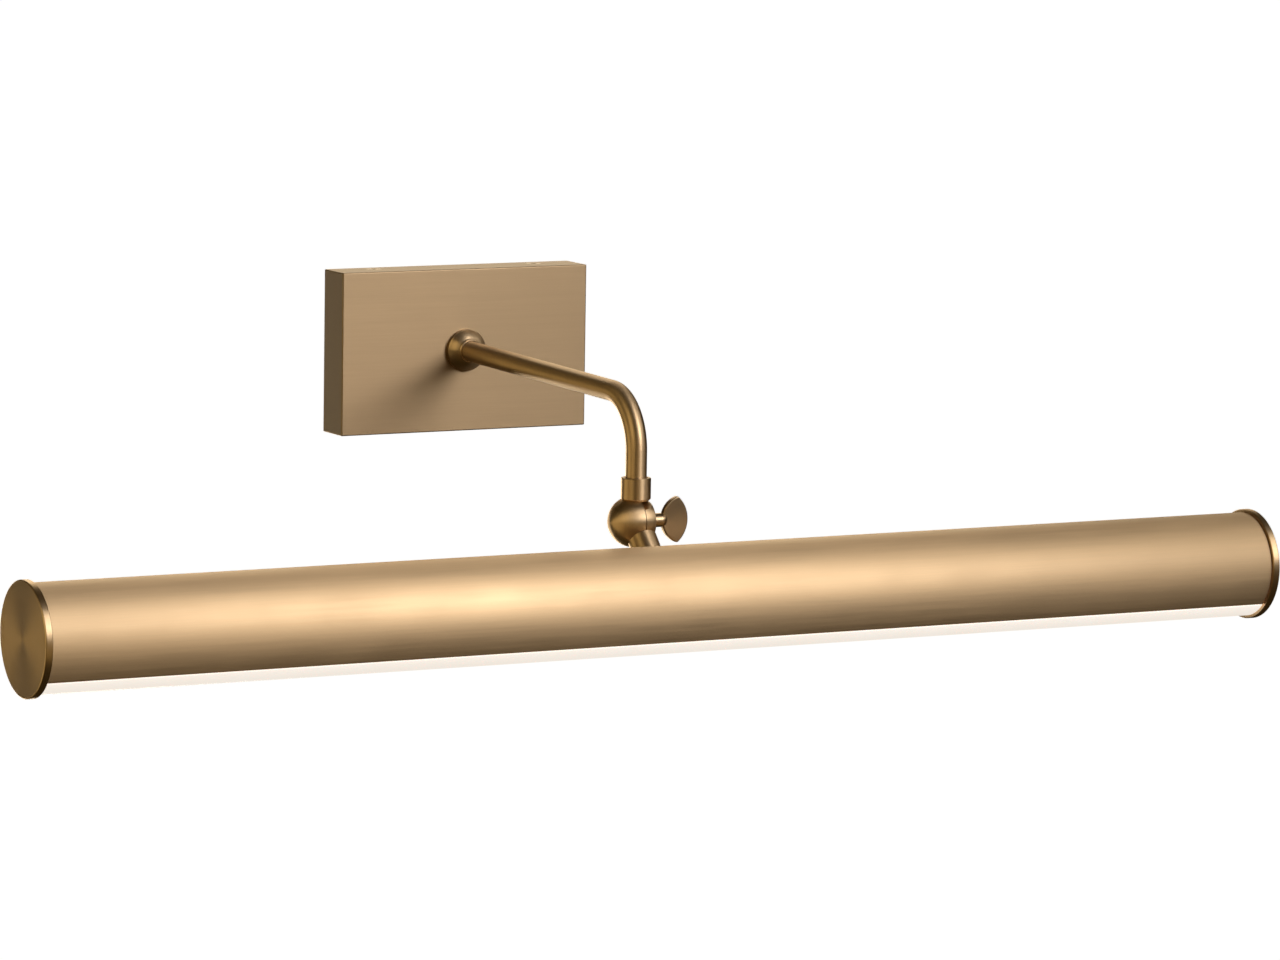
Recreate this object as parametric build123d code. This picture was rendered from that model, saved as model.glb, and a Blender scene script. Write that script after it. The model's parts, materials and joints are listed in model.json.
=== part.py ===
"""Wall-mounted picture light: a brass tube shade with an LED strip, on a bent arm with a ball swivel.

Millimetres. +X runs along the shade, +Y points into the wall, +Z is up.
The origin is on the wall plane, behind the middle of the backplate.
Each function builds one sub-part, and the table at the end writes each one to its own STEP file.
"""

import math
import os

from build123d import *

# ---------------------------------------------------------------- driving dimensions

INCH = 25.4
HALF_TURN_DEG = 180.0
FAR = 30.0                        # past the end of any small part, for cutting tools

# Backplate
PLATE_WIDTH = 5.0 * INCH
PLATE_HEIGHT = 3.0 * INCH
PLATE_DEPTH = 19.8
PLATE_WALL = 1.5
PLATE_EDGE_RADIUS = 0.6
BOX_SCREW_SPACING = 83.3          # single-gang wiring box, 3.28 in

# Arm
ARM_RADIUS = 4.8
ARM_WALL = 1.2
ARM_REACH = 193.4                 # wall to the arm's vertical leg
ARM_BEND_RADIUS = 24.8
ARM_DROOP_DEG = 1.0

# Ball swivel: the tilt axis is parallel to X through the pivot
PIVOT = Vector(0, -ARM_REACH, -58.8)
NECK_TILT_DEG = 43.7              # neck direction at rest, from straight down towards the room
TILT_OUT_DEG = 4.0                # travel from rest, towards the room
TILT_BACK_DEG = 90.0              # travel from rest, towards the wall
BALL_RADIUS = 11.5
BALL_OFFSET_X = -1.2              # the ball's centre, along the tilt axis
BALL_FLAT_X = 5.8                 # the flat under the thumb screw
SPLIT_LEFT_X = -0.5               # mating faces of the two halves
SPLIT_RIGHT_X = -0.1
COLLAR_RADIUS = 6.75
COLLAR_TOP = 19.8                 # above the pivot
NECK_RADIUS = 6.6
STEM_START = 9.4                  # where the collar and the neck begin, from the pivot
RELIEF_FLOOR = 9.1                # radius of the right half's relief for the collar
NECK_SEAT_GAP = 0.15              # between the left half and the neck's hollow end, which follows the ball

# Head
PIVOT_TO_SHADE = 43.2
SHADE_RADIUS = 24.0
SHADE_WALL = 1.4
SHADE_LENGTH = 607.6
SLOT_HALF_ANGLE_DEG = 45.3        # light slot, each side of straight down
CAP_RADIUS = 1.0 * INCH
CAP_THICKNESS = 3.4

# Electrics
CABLE_RADIUS = 1.5
LEAD_RADIUS = 0.8

# ---------------------------------------------------------------- worked-out places

NECK_DIRECTION = Vector(0, -math.sin(math.radians(NECK_TILT_DEG)), -math.cos(math.radians(NECK_TILT_DEG)))
SHADE_CENTRE = PIVOT + NECK_DIRECTION * PIVOT_TO_SHADE
SHADE_BORE_RADIUS = SHADE_RADIUS - SHADE_WALL
SHADE_HALF = SHADE_LENGTH / 2
ARM_START_Y = -12.0
ARM_SOCKET_FLOOR = 11.6           # above the pivot
UP_DEG = 180.0                    # the collar's direction, in the same measure as NECK_TILT_DEG

to_pivot = Pos(*PIVOT)
to_shade = Pos(*SHADE_CENTRE)


def arm_height(y):
    """Height of the arm's drooping leg, which is level with the origin at the backplate's face."""
    return (y + PLATE_DEPTH) * math.tan(math.radians(ARM_DROOP_DEG))


# ---------------------------------------------------------------- helpers

def cylinder_x(radius, x_start, x_end):
    """A round bar along X."""
    middle = (x_start + x_end) / 2
    return Pos(middle, 0, 0) * Rot(0, 90, 0) * Cylinder(radius, x_end - x_start)


def cylinder_y(radius, y_start, y_end):
    """A round bar along Y."""
    middle = (y_start + y_end) / 2
    return Pos(0, middle, 0) * Rot(90, 0, 0) * Cylinder(radius, y_end - y_start)


def block(x_range, y_range, z_range):
    """A box from its limits on each axis."""
    middle = [(low + high) / 2 for low, high in (x_range, y_range, z_range)]
    sides = [high - low for low, high in (x_range, y_range, z_range)]
    return Pos(*middle) * Box(*sides)


def hexagon_bar(across_flats, height):
    """A hexagonal bar along Z, standing on the XY plane."""
    corner_radius = across_flats / math.sqrt(3)
    return extrude(RegularPolygon(corner_radius, 6), height)


def swing(angle_deg):
    """Turns something that points straight down until it points angle_deg towards the room."""
    return Rot(-angle_deg, 0, 0)


def along_neck(distance):
    """A frame on the neck's axis, at a distance from the pivot, with +Z pointing to the shade."""
    return to_pivot * swing(NECK_TILT_DEG) * Pos(0, 0, -distance) * Rot(180, 0, 0)


def run_along_x(profile, x_start, x_end):
    """Extrudes a profile, drawn with its first axis as Y and its second as Z, along X."""
    plane = Plane(origin=(x_start, 0, 0), x_dir=(0, 1, 0), z_dir=(1, 0, 0))
    return extrude(plane * profile, x_end - x_start)


def ring_sector(outer_radius, inner_radius, start_deg, arc_deg):
    """A flat ring sector. Angles are counted from the first axis towards the second."""
    outer = CenterArc((0, 0), outer_radius, start_deg, arc_deg)
    inner = CenterArc((0, 0), inner_radius, start_deg, arc_deg)
    return make_face([outer, Line(outer @ 0, inner @ 0), inner, Line(outer @ 1, inner @ 1)])


def wire_solid(points, bend_radius, wire_radius):
    """A round wire along straight runs joined by arcs."""
    path = FilletPolyline(*points, radius=bend_radius)
    start_plane = Plane(origin=path @ 0, z_dir=path % 0)
    return sweep(start_plane * Circle(wire_radius), path=path)


def flat_head_screw(head_radius, shank_radius, length, drive_radius):
    """A countersunk screw, head up, with the head's face on the XY plane and a hexagonal socket."""
    head_height = head_radius - shank_radius
    head = Pos(0, 0, -head_height / 2) * Cone(shank_radius, head_radius, head_height)
    shank = Pos(0, 0, -length / 2) * Cylinder(shank_radius, length)
    shank = chamfer(shank.edges().sort_by(Axis.Z)[:1], 0.3)
    socket = Pos(0, 0, -head_height * 0.8) * hexagon_bar(2 * drive_radius, head_height)
    return head + shank - socket


def pan_head_screw(head_radius, head_height, shank_radius, length):
    """A pan-head screw, head up, with the head's underside on the XY plane and a cross slot."""
    head = extrude(Circle(head_radius), head_height)
    head = fillet(head.edges().sort_by(Axis.Z)[-1:], head_height * 0.5)
    shank = Pos(0, 0, -length / 2) * Cylinder(shank_radius, length)
    slot = Pos(0, 0, head_height) * Box(head_radius * 1.1, head_radius * 0.28, head_height)
    return head + shank - slot - Rot(0, 0, 90) * slot


# ---------------------------------------------------------------- wall mount

COVER_SCREW_Y = -7.0
COVER_SCREW_LENGTH = 7.0
COVER_SCREW_HEAD_RADIUS = 3.7
COVER_SCREW_RADIUS = 2.0
SHEET = 1.6
COVER_INSIDE_X = PLATE_WIDTH / 2 - PLATE_WALL
COVER_INSIDE_Z = PLATE_HEIGHT / 2 - PLATE_WALL
BRACKET_HALF_HEIGHT = COVER_INSIDE_Z - 0.2
COVER_SCREW_X = (-BOX_SCREW_SPACING / 2, BOX_SCREW_SPACING / 2)
ARM_HOLE_RADIUS = ARM_RADIUS + 0.2
GROUND_SCREW_PLACE = (0, -SHEET, 26.0)
GROUND_SCREW_RADIUS = 1.9


def backplate_cover():
    x_range = (-PLATE_WIDTH / 2, PLATE_WIDTH / 2)
    z_range = (-PLATE_HEIGHT / 2, PLATE_HEIGHT / 2)
    outside = block(x_range, (-PLATE_DEPTH, 0), z_range)
    rear_edges = outside.edges().group_by(Axis.Y)[-1]
    outside = fillet(outside.edges() - rear_edges, PLATE_EDGE_RADIUS)
    inside = block(
        (-COVER_INSIDE_X, COVER_INSIDE_X),
        (-PLATE_DEPTH + PLATE_WALL, 1),
        (-COVER_INSIDE_Z, COVER_INSIDE_Z),
    )
    cover = outside - inside - cylinder_y(ARM_HOLE_RADIUS, -PLATE_DEPTH - 1, 0)
    head_depth = COVER_SCREW_HEAD_RADIUS - COVER_SCREW_RADIUS
    countersink = Pos(0, 0, -head_depth / 2) * Cone(COVER_SCREW_RADIUS, COVER_SCREW_HEAD_RADIUS, head_depth)
    for x in COVER_SCREW_X:
        top = Pos(x, COVER_SCREW_Y, PLATE_HEIGHT / 2)
        cover -= top * countersink
        cover -= top * Cylinder(COVER_SCREW_RADIUS + 0.05, 4 * PLATE_WALL)
    return cover


def mounting_bracket():
    half_width = 52.0
    window_half_width = 30.0
    window_half_height = 20.0
    tab_half_width = 6.0
    tab_depth = 13.0
    slot_width = 4.8
    slot_length = 12.0
    corner_radius = 4.0
    tab_corner_radius = 2.0
    plate = block((-half_width, half_width), (-SHEET, 0), (-BRACKET_HALF_HEIGHT, BRACKET_HALF_HEIGHT))
    plate = fillet(plate.edges().filter_by(Axis.Y), corner_radius)
    window = block(
        (-window_half_width, window_half_width),
        (-SHEET - 1, 1),
        (-window_half_height, window_half_height),
    )
    bracket = plate - fillet(window.edges().filter_by(Axis.Y), corner_radius)
    for x in COVER_SCREW_X:
        for side in (-1, 1):
            outer_z = side * BRACKET_HALF_HEIGHT
            z_range = sorted((outer_z, outer_z - side * SHEET))
            tab = block((x - tab_half_width, x + tab_half_width), (-tab_depth, 0), z_range)
            free_corners = tab.edges().filter_by(Axis.Z).group_by(Axis.Y)[0]
            bracket += fillet(free_corners, tab_corner_radius)
        slot_bar = extrude(SlotOverall(slot_length, slot_width), 3 * SHEET, both=True)
        bracket -= Pos(x, 0, 0) * Rot(90, 0, 0) * slot_bar
        bracket -= Pos(x, COVER_SCREW_Y, BRACKET_HALF_HEIGHT) * Cylinder(COVER_SCREW_RADIUS, 4 * SHEET)
    ground_x, _, ground_z = GROUND_SCREW_PLACE
    bracket -= Pos(ground_x, 0, ground_z) * cylinder_y(GROUND_SCREW_RADIUS, -FAR, FAR)
    return bracket


def cover_screws():
    socket_radius = 1.3
    screw = flat_head_screw(COVER_SCREW_HEAD_RADIUS, COVER_SCREW_RADIUS, COVER_SCREW_LENGTH, socket_radius)
    return [Pos(x, COVER_SCREW_Y, PLATE_HEIGHT / 2) * screw for x in COVER_SCREW_X]


def ground_screw():
    """The earth screw in the bracket, with its head standing off by the thickness of the lead."""
    head_radius = 3.6
    head_height = 2.4
    lead_room = LEAD_RADIUS * 2 + 0.1
    screw = pan_head_screw(head_radius, head_height, GROUND_SCREW_RADIUS, SHEET + lead_room)
    return Pos(*GROUND_SCREW_PLACE) * Rot(90, 0, 0) * Pos(0, 0, lead_room) * screw


FLANGE_RADIUS = 9.75
FLANGE_RIM = 2.6
FLANGE_HEIGHT = 6.8
FLANGE_RING_RADIUS = 5.9
FLANGE_RING_STEP = 1.0            # how far the raised ring stands above the rounded face
FLANGE_CROWN = (7.8, 4.45)        # a point halfway along the rounded face: radius, height
FLANGE_RIM_CORNER = 0.4
FLANGE_RING_CORNER = 0.3


def arm_flange():
    """The round boss between the backplate and the arm: a low rim, a rounded face and a raised ring."""
    bore = ARM_HOLE_RADIUS
    ring_foot = (FLANGE_RING_RADIUS, FLANGE_HEIGHT - FLANGE_RING_STEP)
    rim_top = (FLANGE_RADIUS - FLANGE_RIM_CORNER, FLANGE_RIM)
    profile = make_face([
        Polyline(
            (bore, 0),
            (FLANGE_RADIUS, 0),
            (FLANGE_RADIUS, FLANGE_RIM - FLANGE_RIM_CORNER),
            rim_top,
        ),
        ThreePointArc(rim_top, FLANGE_CROWN, ring_foot),
        Polyline(
            ring_foot,
            (FLANGE_RING_RADIUS, FLANGE_HEIGHT - FLANGE_RING_CORNER),
            (FLANGE_RING_RADIUS - FLANGE_RING_CORNER, FLANGE_HEIGHT),
            (bore, FLANGE_HEIGHT),
            (bore, 0),
        ),
    ])
    turned = revolve(Plane.XZ * profile, Axis.Z)
    return Pos(0, -PLATE_DEPTH, 0) * Rot(90, 0, 0) * turned


def arm_tube():
    path = FilletPolyline(
        (0, ARM_START_Y, arm_height(ARM_START_Y)),
        (0, -ARM_REACH, arm_height(-ARM_REACH)),
        (0, -ARM_REACH, PIVOT.Z + ARM_SOCKET_FLOOR),
        radius=ARM_BEND_RADIUS,
    )
    start_plane = Plane(origin=path @ 0, x_dir=(1, 0, 0), z_dir=path % 0)
    section = Circle(ARM_RADIUS) - Circle(ARM_RADIUS - ARM_WALL)
    return sweep(start_plane * section, path=path)


ARM_WASHER_RADIUS = 8.2
ARM_WASHER_THICKNESS = 1.0
NUT_ACROSS_FLATS = 14.2           # the arm's nut and the neck's nut
NUT_CHAMFER = 0.5
COVER_INSIDE_Y = -PLATE_DEPTH + PLATE_WALL


def arm_lock_washer():
    """A split spring washer inside the backplate."""
    split_half_width = 0.6
    ring = cylinder_y(ARM_WASHER_RADIUS, COVER_INSIDE_Y, COVER_INSIDE_Y + ARM_WASHER_THICKNESS)
    ring -= cylinder_y(ARM_HOLE_RADIUS, COVER_INSIDE_Y - 1, 0)
    split = block((-split_half_width, split_half_width), (COVER_INSIDE_Y - 1, 0), (0, FAR))
    return ring - split


def arm_lock_nut():
    nut_height = 4.0
    nut_y = COVER_INSIDE_Y + ARM_WASHER_THICKNESS
    nut = hexagon_bar(NUT_ACROSS_FLATS, nut_height)
    nut = chamfer(nut.edges().group_by(Axis.Z)[-1], NUT_CHAMFER)
    nut -= Cylinder(ARM_HOLE_RADIUS, FAR)
    return Pos(0, nut_y, 0) * Rot(-90, 0, 0) * nut


BUSHING_DEPTH = 4.0
BUSHING_LIP = 1.2


def arm_bushing():
    """The plastic sleeve that keeps the cable off the arm's cut end."""
    sleeve_end = ARM_START_Y - BUSHING_DEPTH
    lip_start = ARM_START_Y + 0.15
    lip = cylinder_y(ARM_RADIUS + 0.8, lip_start, lip_start + BUSHING_LIP)
    sleeve = cylinder_y(ARM_RADIUS - ARM_WALL - 0.2, sleeve_end, lip_start)
    bushing = lip + sleeve - cylinder_y(CABLE_RADIUS + 0.2, -FAR, FAR)
    return Pos(0, 0, arm_height(ARM_START_Y)) * bushing


# ---------------------------------------------------------------- wiring up to the swivel

CABLE_LANE_LEFT_X = -2.6          # where the cable passes the left half of the ball
CABLE_LANE_RIGHT_X = 1.9          # where it passes the right half
CABLE_LANE_RADIUS = 6.35          # round the clamping boss
CABLE_JOG_HIGH = 15.5             # above the pivot, where the cable starts to move over to its lane
CABLE_JOG_LOW = 9.6
CABLE_END_Y = ARM_START_Y + 2.5
LOOP_STEP_DEG = 38.0
LOOP_STEPS = 5


def supply_cable_arm():
    """The round cable from the backplate, through the arm and down the wall side of the ball's boss."""
    x = CABLE_LANE_LEFT_X
    corner_radius = CABLE_LANE_RADIUS / math.cos(math.radians(LOOP_STEP_DEG / 2))
    points = [
        Vector(0, CABLE_END_Y, arm_height(CABLE_END_Y)),
        Vector(0, -ARM_REACH, arm_height(-ARM_REACH)),
        PIVOT + Vector(0, 0, CABLE_JOG_HIGH),
        PIVOT + Vector(x, 0, CABLE_JOG_LOW),
    ]
    for step in range(LOOP_STEPS + 1):
        turn = math.radians(step * LOOP_STEP_DEG)
        points.append(PIVOT + Vector(x, corner_radius * math.sin(turn), corner_radius * math.cos(turn)))
    points.append(PIVOT + NECK_DIRECTION * CABLE_LANE_RADIUS + Vector(x, 0, 0))
    path = FilletPolyline(*points, radius=[ARM_BEND_RADIUS, 4.0, 4.0, 2.5] + [4.5] * LOOP_STEPS)
    start_plane = Plane(origin=path @ 0, x_dir=(1, 0, 0), z_dir=path % 0)
    return sweep(start_plane * Circle(CABLE_RADIUS), path=path)


LEAD_TURN_Y = CABLE_END_Y + 2.5    # just behind the cable's end
LEAD_DEPTH_Y = -13.0              # between the bracket's tabs
CORE_RADIUS = LEAD_RADIUS * 0.95
CORE_OUT = 0.82                   # the live and neutral cores leave the cable this far to each side
CORE_DOWN = -0.45
EARTH_CORE_UP = 0.9


def line_lead():
    """Live core from the cable's end to a stripped tail, for joining to the house wiring."""
    return supply_tail(-1)


def neutral_lead():
    return supply_tail(1)


def supply_tail(side):
    """A core that goes out round one end of the wiring space and back over its top."""
    start_x = side * CORE_OUT
    points = [
        (start_x, CABLE_END_Y + 0.1, CORE_DOWN),
        (start_x, LEAD_TURN_Y, CORE_DOWN),
        (side * 20.0, LEAD_TURN_Y, -9.0),
        (side * 38.0, LEAD_DEPTH_Y, -11.0),
        (side * 44.0, LEAD_DEPTH_Y, 8.0),
        (side * 38.0, LEAD_DEPTH_Y, 22.0),
        (side * 22.0, LEAD_DEPTH_Y, 24.0),
    ]
    bend_radii = [1.6, 4.0, 5.0, 6.0, 6.0]
    return wire_solid(points, bend_radii, CORE_RADIUS)


def ground_lead():
    """Earth core from the cable's end to the ground screw, where it passes below the shank."""
    ground_x, ground_y, ground_z = GROUND_SCREW_PLACE
    lead_y = ground_y - LEAD_RADIUS - 0.05
    beside_shank_z = ground_z - LEAD_RADIUS - GROUND_SCREW_RADIUS - 0.05
    points = [
        (0, CABLE_END_Y + 0.1, EARTH_CORE_UP),
        (0, LEAD_TURN_Y, EARTH_CORE_UP),
        (6.0, LEAD_TURN_Y, 13.0),
        (14.0, LEAD_TURN_Y + 1.0, 19.5),
        (10.0, lead_y, beside_shank_z),
        (ground_x - 3.0, lead_y, beside_shank_z),
    ]
    bend_radii = [1.6, 6.0, 2.5, 3.0]
    return wire_solid(points, bend_radii, CORE_RADIUS)


# ---------------------------------------------------------------- ball swivel

BOSS_RADIUS = 4.6
GROOVE_RADIUS = 8.1
GROOVE_LEFT_X = -4.3
GROOVE_RIGHT_X = 3.7
SCREW_THREAD_RADIUS = 2.95
SCREW_HOLE_DEPTH_X = -9.5
FRICTION_WASHER_X = (-0.90, 0.20)
STEM_RELIEF = 0.35
EXTRA_NOTCH_DEG = 15.0
COLLAR_CHAMFER = 1.0
NECK_CHAMFER = 0.3
RELIEF_DEPTH = 8.0                # radial depth of the relief that the stems swing in
ROOT_MIDDLE = 8.0                 # from the pivot to the middle of the stem's root inside the ball
ROOT_LENGTH = 5.0
LANE_LENGTH = 9.0                 # drilled way for the cable, from the groove out into the stem
LANE_MIDDLE = 9.0
SOCKET_PIT_DEPTH = 1.8            # below the socket's floor, where the cable turns aside
COLLAR_LIP_DEPTH = 0.85           # wider mouth of the arm's socket: the dark line round the arm


def ball_slice(x_low, x_high):
    """The slice of the ball between two planes square to the tilt axis, turned about that axis."""
    def skin(x):
        return math.sqrt(max(0, BALL_RADIUS ** 2 - (x - BALL_OFFSET_X) ** 2))

    middle_x = (x_low + x_high) / 2
    arc = ThreePointArc((x_low, skin(x_low)), (middle_x, skin(middle_x)), (x_high, skin(x_high)))
    edges = [arc, Line((x_high, skin(x_high)), (x_high, 0)), Line((x_high, 0), (x_low, 0))]
    if skin(x_low) > 0:
        edges.append(Line((x_low, 0), (x_low, skin(x_low))))
    return revolve(make_face(edges), Axis.X)


def stem_sweep(radius, start_deg, end_deg):
    """The space outside the relief's floor that a round stem needs to swing between two directions."""
    middle = RELIEF_FLOOR + RELIEF_DEPTH / 2
    profile = Plane.XZ * Pos(0, -middle) * Rectangle(2 * radius, RELIEF_DEPTH)
    space = revolve(swing(end_deg) * profile, Axis.X, revolution_arc=end_deg - start_deg)
    for angle in (start_deg, end_deg):
        space += swing(angle) * Pos(0, 0, -middle) * Cylinder(radius, RELIEF_DEPTH)
    return space


def boss_groove(x_low, x_high):
    """The ring-shaped space for the cable round the clamping boss."""
    return cylinder_x(GROOVE_RADIUS, x_low, x_high) - cylinder_x(BOSS_RADIUS, x_low, x_high)


def stem_root(radius, x_range):
    """The part of a stem, pointing straight down, that is sunk in one half of the ball."""
    root = Pos(0, 0, -ROOT_MIDDLE) * Cylinder(radius, ROOT_LENGTH)
    return root & block(x_range, (-FAR, FAR), (-FAR, 0))


def stem(radius, length_end, inner_chamfer):
    """A round stem pointing straight down from the pivot, with its inner edge chamfered."""
    length = length_end - STEM_START
    bar = Pos(0, 0, -(STEM_START + length / 2)) * Cylinder(radius, length)
    inner_edge = bar.edges().filter_by(GeomType.CIRCLE).sort_by(Axis.Z)[-1:]
    return chamfer(inner_edge, inner_chamfer)


def swivel_upper_half():
    """Left half of the ball with the collar that takes the arm."""
    half = ball_slice(BALL_OFFSET_X - BALL_RADIUS, SPLIT_LEFT_X)
    half += swing(UP_DEG) * stem_root(COLLAR_RADIUS - COLLAR_CHAMFER, (-FAR, SPLIT_LEFT_X))
    half += swing(UP_DEG) * stem(COLLAR_RADIUS, COLLAR_TOP, COLLAR_CHAMFER)
    half -= boss_groove(GROOVE_LEFT_X, SPLIT_LEFT_X)
    half -= cylinder_x(BOSS_RADIUS, FRICTION_WASHER_X[0], SPLIT_LEFT_X)
    half -= cylinder_x(SCREW_THREAD_RADIUS + 0.05, SCREW_HOLE_DEPTH_X, FAR)
    socket_height = COLLAR_TOP - ARM_SOCKET_FLOOR
    half -= Pos(0, 0, ARM_SOCKET_FLOOR + socket_height / 2) * Cylinder(ARM_RADIUS + 0.05, socket_height)
    half -= Pos(0, 0, COLLAR_TOP) * Cylinder(ARM_RADIUS + 0.5, 2 * COLLAR_LIP_DEPTH)
    half -= Pos(CABLE_LANE_LEFT_X, 0, LANE_MIDDLE) * Cylinder(CABLE_RADIUS + 0.75, LANE_LENGTH)
    half -= Pos(0, 0, ARM_SOCKET_FLOOR) * Cylinder(ARM_RADIUS - ARM_WALL, 2 * SOCKET_PIT_DEPTH)
    outer_rim = half.edges().filter_by(GeomType.CIRCLE).group_by(Axis.Z)[-1].sort_by(SortBy.RADIUS)[-1:]
    return to_pivot * chamfer(outer_rim, 0.35)


def swivel_lower_half():
    """Right half of the ball with the neck that carries the shade."""
    collar_low = UP_DEG - TILT_OUT_DEG - EXTRA_NOTCH_DEG
    collar_high = UP_DEG + TILT_BACK_DEG
    half = ball_slice(SPLIT_RIGHT_X, BALL_FLAT_X)
    half -= stem_sweep(COLLAR_RADIUS + STEM_RELIEF, collar_low, collar_high)
    half += swing(NECK_TILT_DEG) * stem_root(NECK_RADIUS - COLLAR_CHAMFER, (SPLIT_RIGHT_X, FAR))
    neck_end = PIVOT_TO_SHADE - SHADE_RADIUS
    seat = Pos(BALL_OFFSET_X, 0, 0) * Sphere(BALL_RADIUS + NECK_SEAT_GAP)
    seat = seat & block((-FAR, SPLIT_RIGHT_X), (-FAR, FAR), (-FAR, FAR))
    half += swing(NECK_TILT_DEG) * stem(NECK_RADIUS, neck_end + NECK_OVERRUN, NECK_CHAMFER) - seat
    half -= boss_groove(SPLIT_RIGHT_X, GROOVE_RIGHT_X)
    half -= cylinder_x(BOSS_RADIUS, SPLIT_RIGHT_X, FRICTION_WASHER_X[1] + 0.05)
    half -= cylinder_x(SCREW_THREAD_RADIUS + 0.35, -FAR, FAR)
    lane = Pos(CABLE_LANE_RIGHT_X, 0, -LANE_MIDDLE) * Cylinder(CABLE_RADIUS + 0.2, LANE_LENGTH)
    half -= swing(NECK_TILT_DEG) * lane
    for bore, start in ((NIPPLE_BORE, NECK_BORE_START), (NIPPLE_RADIUS + 0.05, NIPPLE_START)):
        length = neck_end + NECK_OVERRUN + 0.4 - start
        half -= swing(NECK_TILT_DEG) * Pos(0, 0, -(start + length / 2)) * Cylinder(bore, length)
    shade_skin = to_pivot.inverse() * to_shade * cylinder_x(SHADE_RADIUS, -FAR, FAR)
    return to_pivot * (half - shade_skin)


def swivel_friction_washer():
    """The nylon disc squeezed between the two bosses."""
    washer = cylinder_x(BOSS_RADIUS - 0.1, FRICTION_WASHER_X[0], FRICTION_WASHER_X[1])
    return to_pivot * (washer - cylinder_x(SCREW_THREAD_RADIUS + 0.1, -FAR, FAR))


# ---------------------------------------------------------------- thumb screw

CLAMP_WASHER_X = (BALL_FLAT_X + 0.05, BALL_FLAT_X + 0.95)
SHANK_RADIUS = 3.15
SHANK_END_X = 12.6
PADDLE_THICKNESS = 3.0
PADDLE_X = (13.0, 25.9)
PADDLE_TIP_X = 20.8
PADDLE_HALF_HEIGHT = 10.5
PADDLE_TIP_ROUNDING = 1.0
PADDLE_EDGE_ROUNDING = 0.6
THREAD_TIP_X = -7.5
THREAD_TIP_CHAMFER = 0.6
CLAMP_WASHER_RADIUS = 5.2


def thumb_screw_washer():
    washer = cylinder_x(CLAMP_WASHER_RADIUS, *CLAMP_WASHER_X)
    washer -= cylinder_x(SCREW_THREAD_RADIUS + 0.1, -FAR, FAR)
    return to_pivot * washer


def thumb_screw():
    """A threaded shank with a round shoulder and a flat leaf-shaped paddle."""
    thread = cylinder_x(SCREW_THREAD_RADIUS, THREAD_TIP_X, CLAMP_WASHER_X[1] + 1)
    thread = chamfer(thread.edges().filter_by(GeomType.CIRCLE).sort_by(Axis.X)[:1], THREAD_TIP_CHAMFER)
    shoulder = cylinder_x(SHANK_RADIUS, CLAMP_WASHER_X[1] + 0.05, SHANK_END_X)
    shoulder += Pos(SHANK_END_X, 0, 0) * Sphere(SHANK_RADIUS)
    tip_top = (PADDLE_TIP_X, PADDLE_HALF_HEIGHT)
    tip_bottom = (PADDLE_TIP_X, -PADDLE_HALF_HEIGHT)
    outline = make_face([
        ThreePointArc(tip_top, (PADDLE_X[1], 0), tip_bottom),
        ThreePointArc(tip_bottom, (PADDLE_X[0], 0), tip_top),
    ])
    outline = fillet(outline.vertices(), PADDLE_TIP_ROUNDING)
    paddle = extrude(Plane.XZ * outline, PADDLE_THICKNESS / 2, both=True)
    paddle = fillet(paddle.edges().filter_by(Plane.XZ), PADDLE_EDGE_ROUNDING)
    return to_pivot * (thread + shoulder + paddle)


# ---------------------------------------------------------------- neck to shade

NIPPLE_RADIUS = 4.9
NIPPLE_BORE = 3.6
NIPPLE_START = 12.6               # from the pivot
NECK_BORE_START = 11.0
NECK_OVERRUN = 3.0                # past the top of the shade, before its end is cut to fit the shade
SHADE_SKIN_INSIDE = PIVOT_TO_SHADE - SHADE_BORE_RADIUS
SADDLE_FLAT = SHADE_SKIN_INSIDE + 2.2
SADDLE_WASHER_RADIUS = 9.5
NECK_NUT_HEIGHT = 3.0
NIPPLE_END = SADDLE_FLAT + NECK_NUT_HEIGHT + 1.0


def neck_nipple():
    """The hollow threaded tube that joins the neck to the shade."""
    length = NIPPLE_END - NIPPLE_START
    tube = extrude(Circle(NIPPLE_RADIUS) - Circle(NIPPLE_BORE), length)
    return along_neck(NIPPLE_START) * tube


def neck_saddle_washer():
    """Round washer whose outer face follows the inside of the shade."""
    block_height = SADDLE_FLAT - PIVOT_TO_SHADE + SHADE_RADIUS
    disc = along_neck(SADDLE_FLAT - block_height) * extrude(Circle(SADDLE_WASHER_RADIUS), block_height)
    washer = disc & (to_shade * cylinder_x(SHADE_BORE_RADIUS, -FAR, FAR))
    hole = along_neck(SADDLE_FLAT - block_height - 1) * extrude(Circle(NIPPLE_RADIUS + 0.1), block_height + 2)
    return washer - hole


def neck_nut():
    nut = hexagon_bar(NUT_ACROSS_FLATS, NECK_NUT_HEIGHT)
    nut = chamfer(nut.edges().group_by(Axis.Z)[-1], NUT_CHAMFER)
    nut -= Cylinder(NIPPLE_RADIUS + 0.05, FAR)
    return along_neck(SADDLE_FLAT) * nut


def neck_bushing():
    """The plastic sleeve at the nipple's inner end."""
    lip = extrude(Circle(NIPPLE_RADIUS + 0.6), BUSHING_LIP)
    sleeve = Pos(0, 0, -BUSHING_DEPTH) * extrude(Circle(NIPPLE_BORE - 0.1), BUSHING_DEPTH)
    bushing = lip + sleeve - Cylinder(CABLE_RADIUS + 0.3, FAR)
    return along_neck(NIPPLE_END + 0.05) * bushing


# ---------------------------------------------------------------- shade

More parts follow.
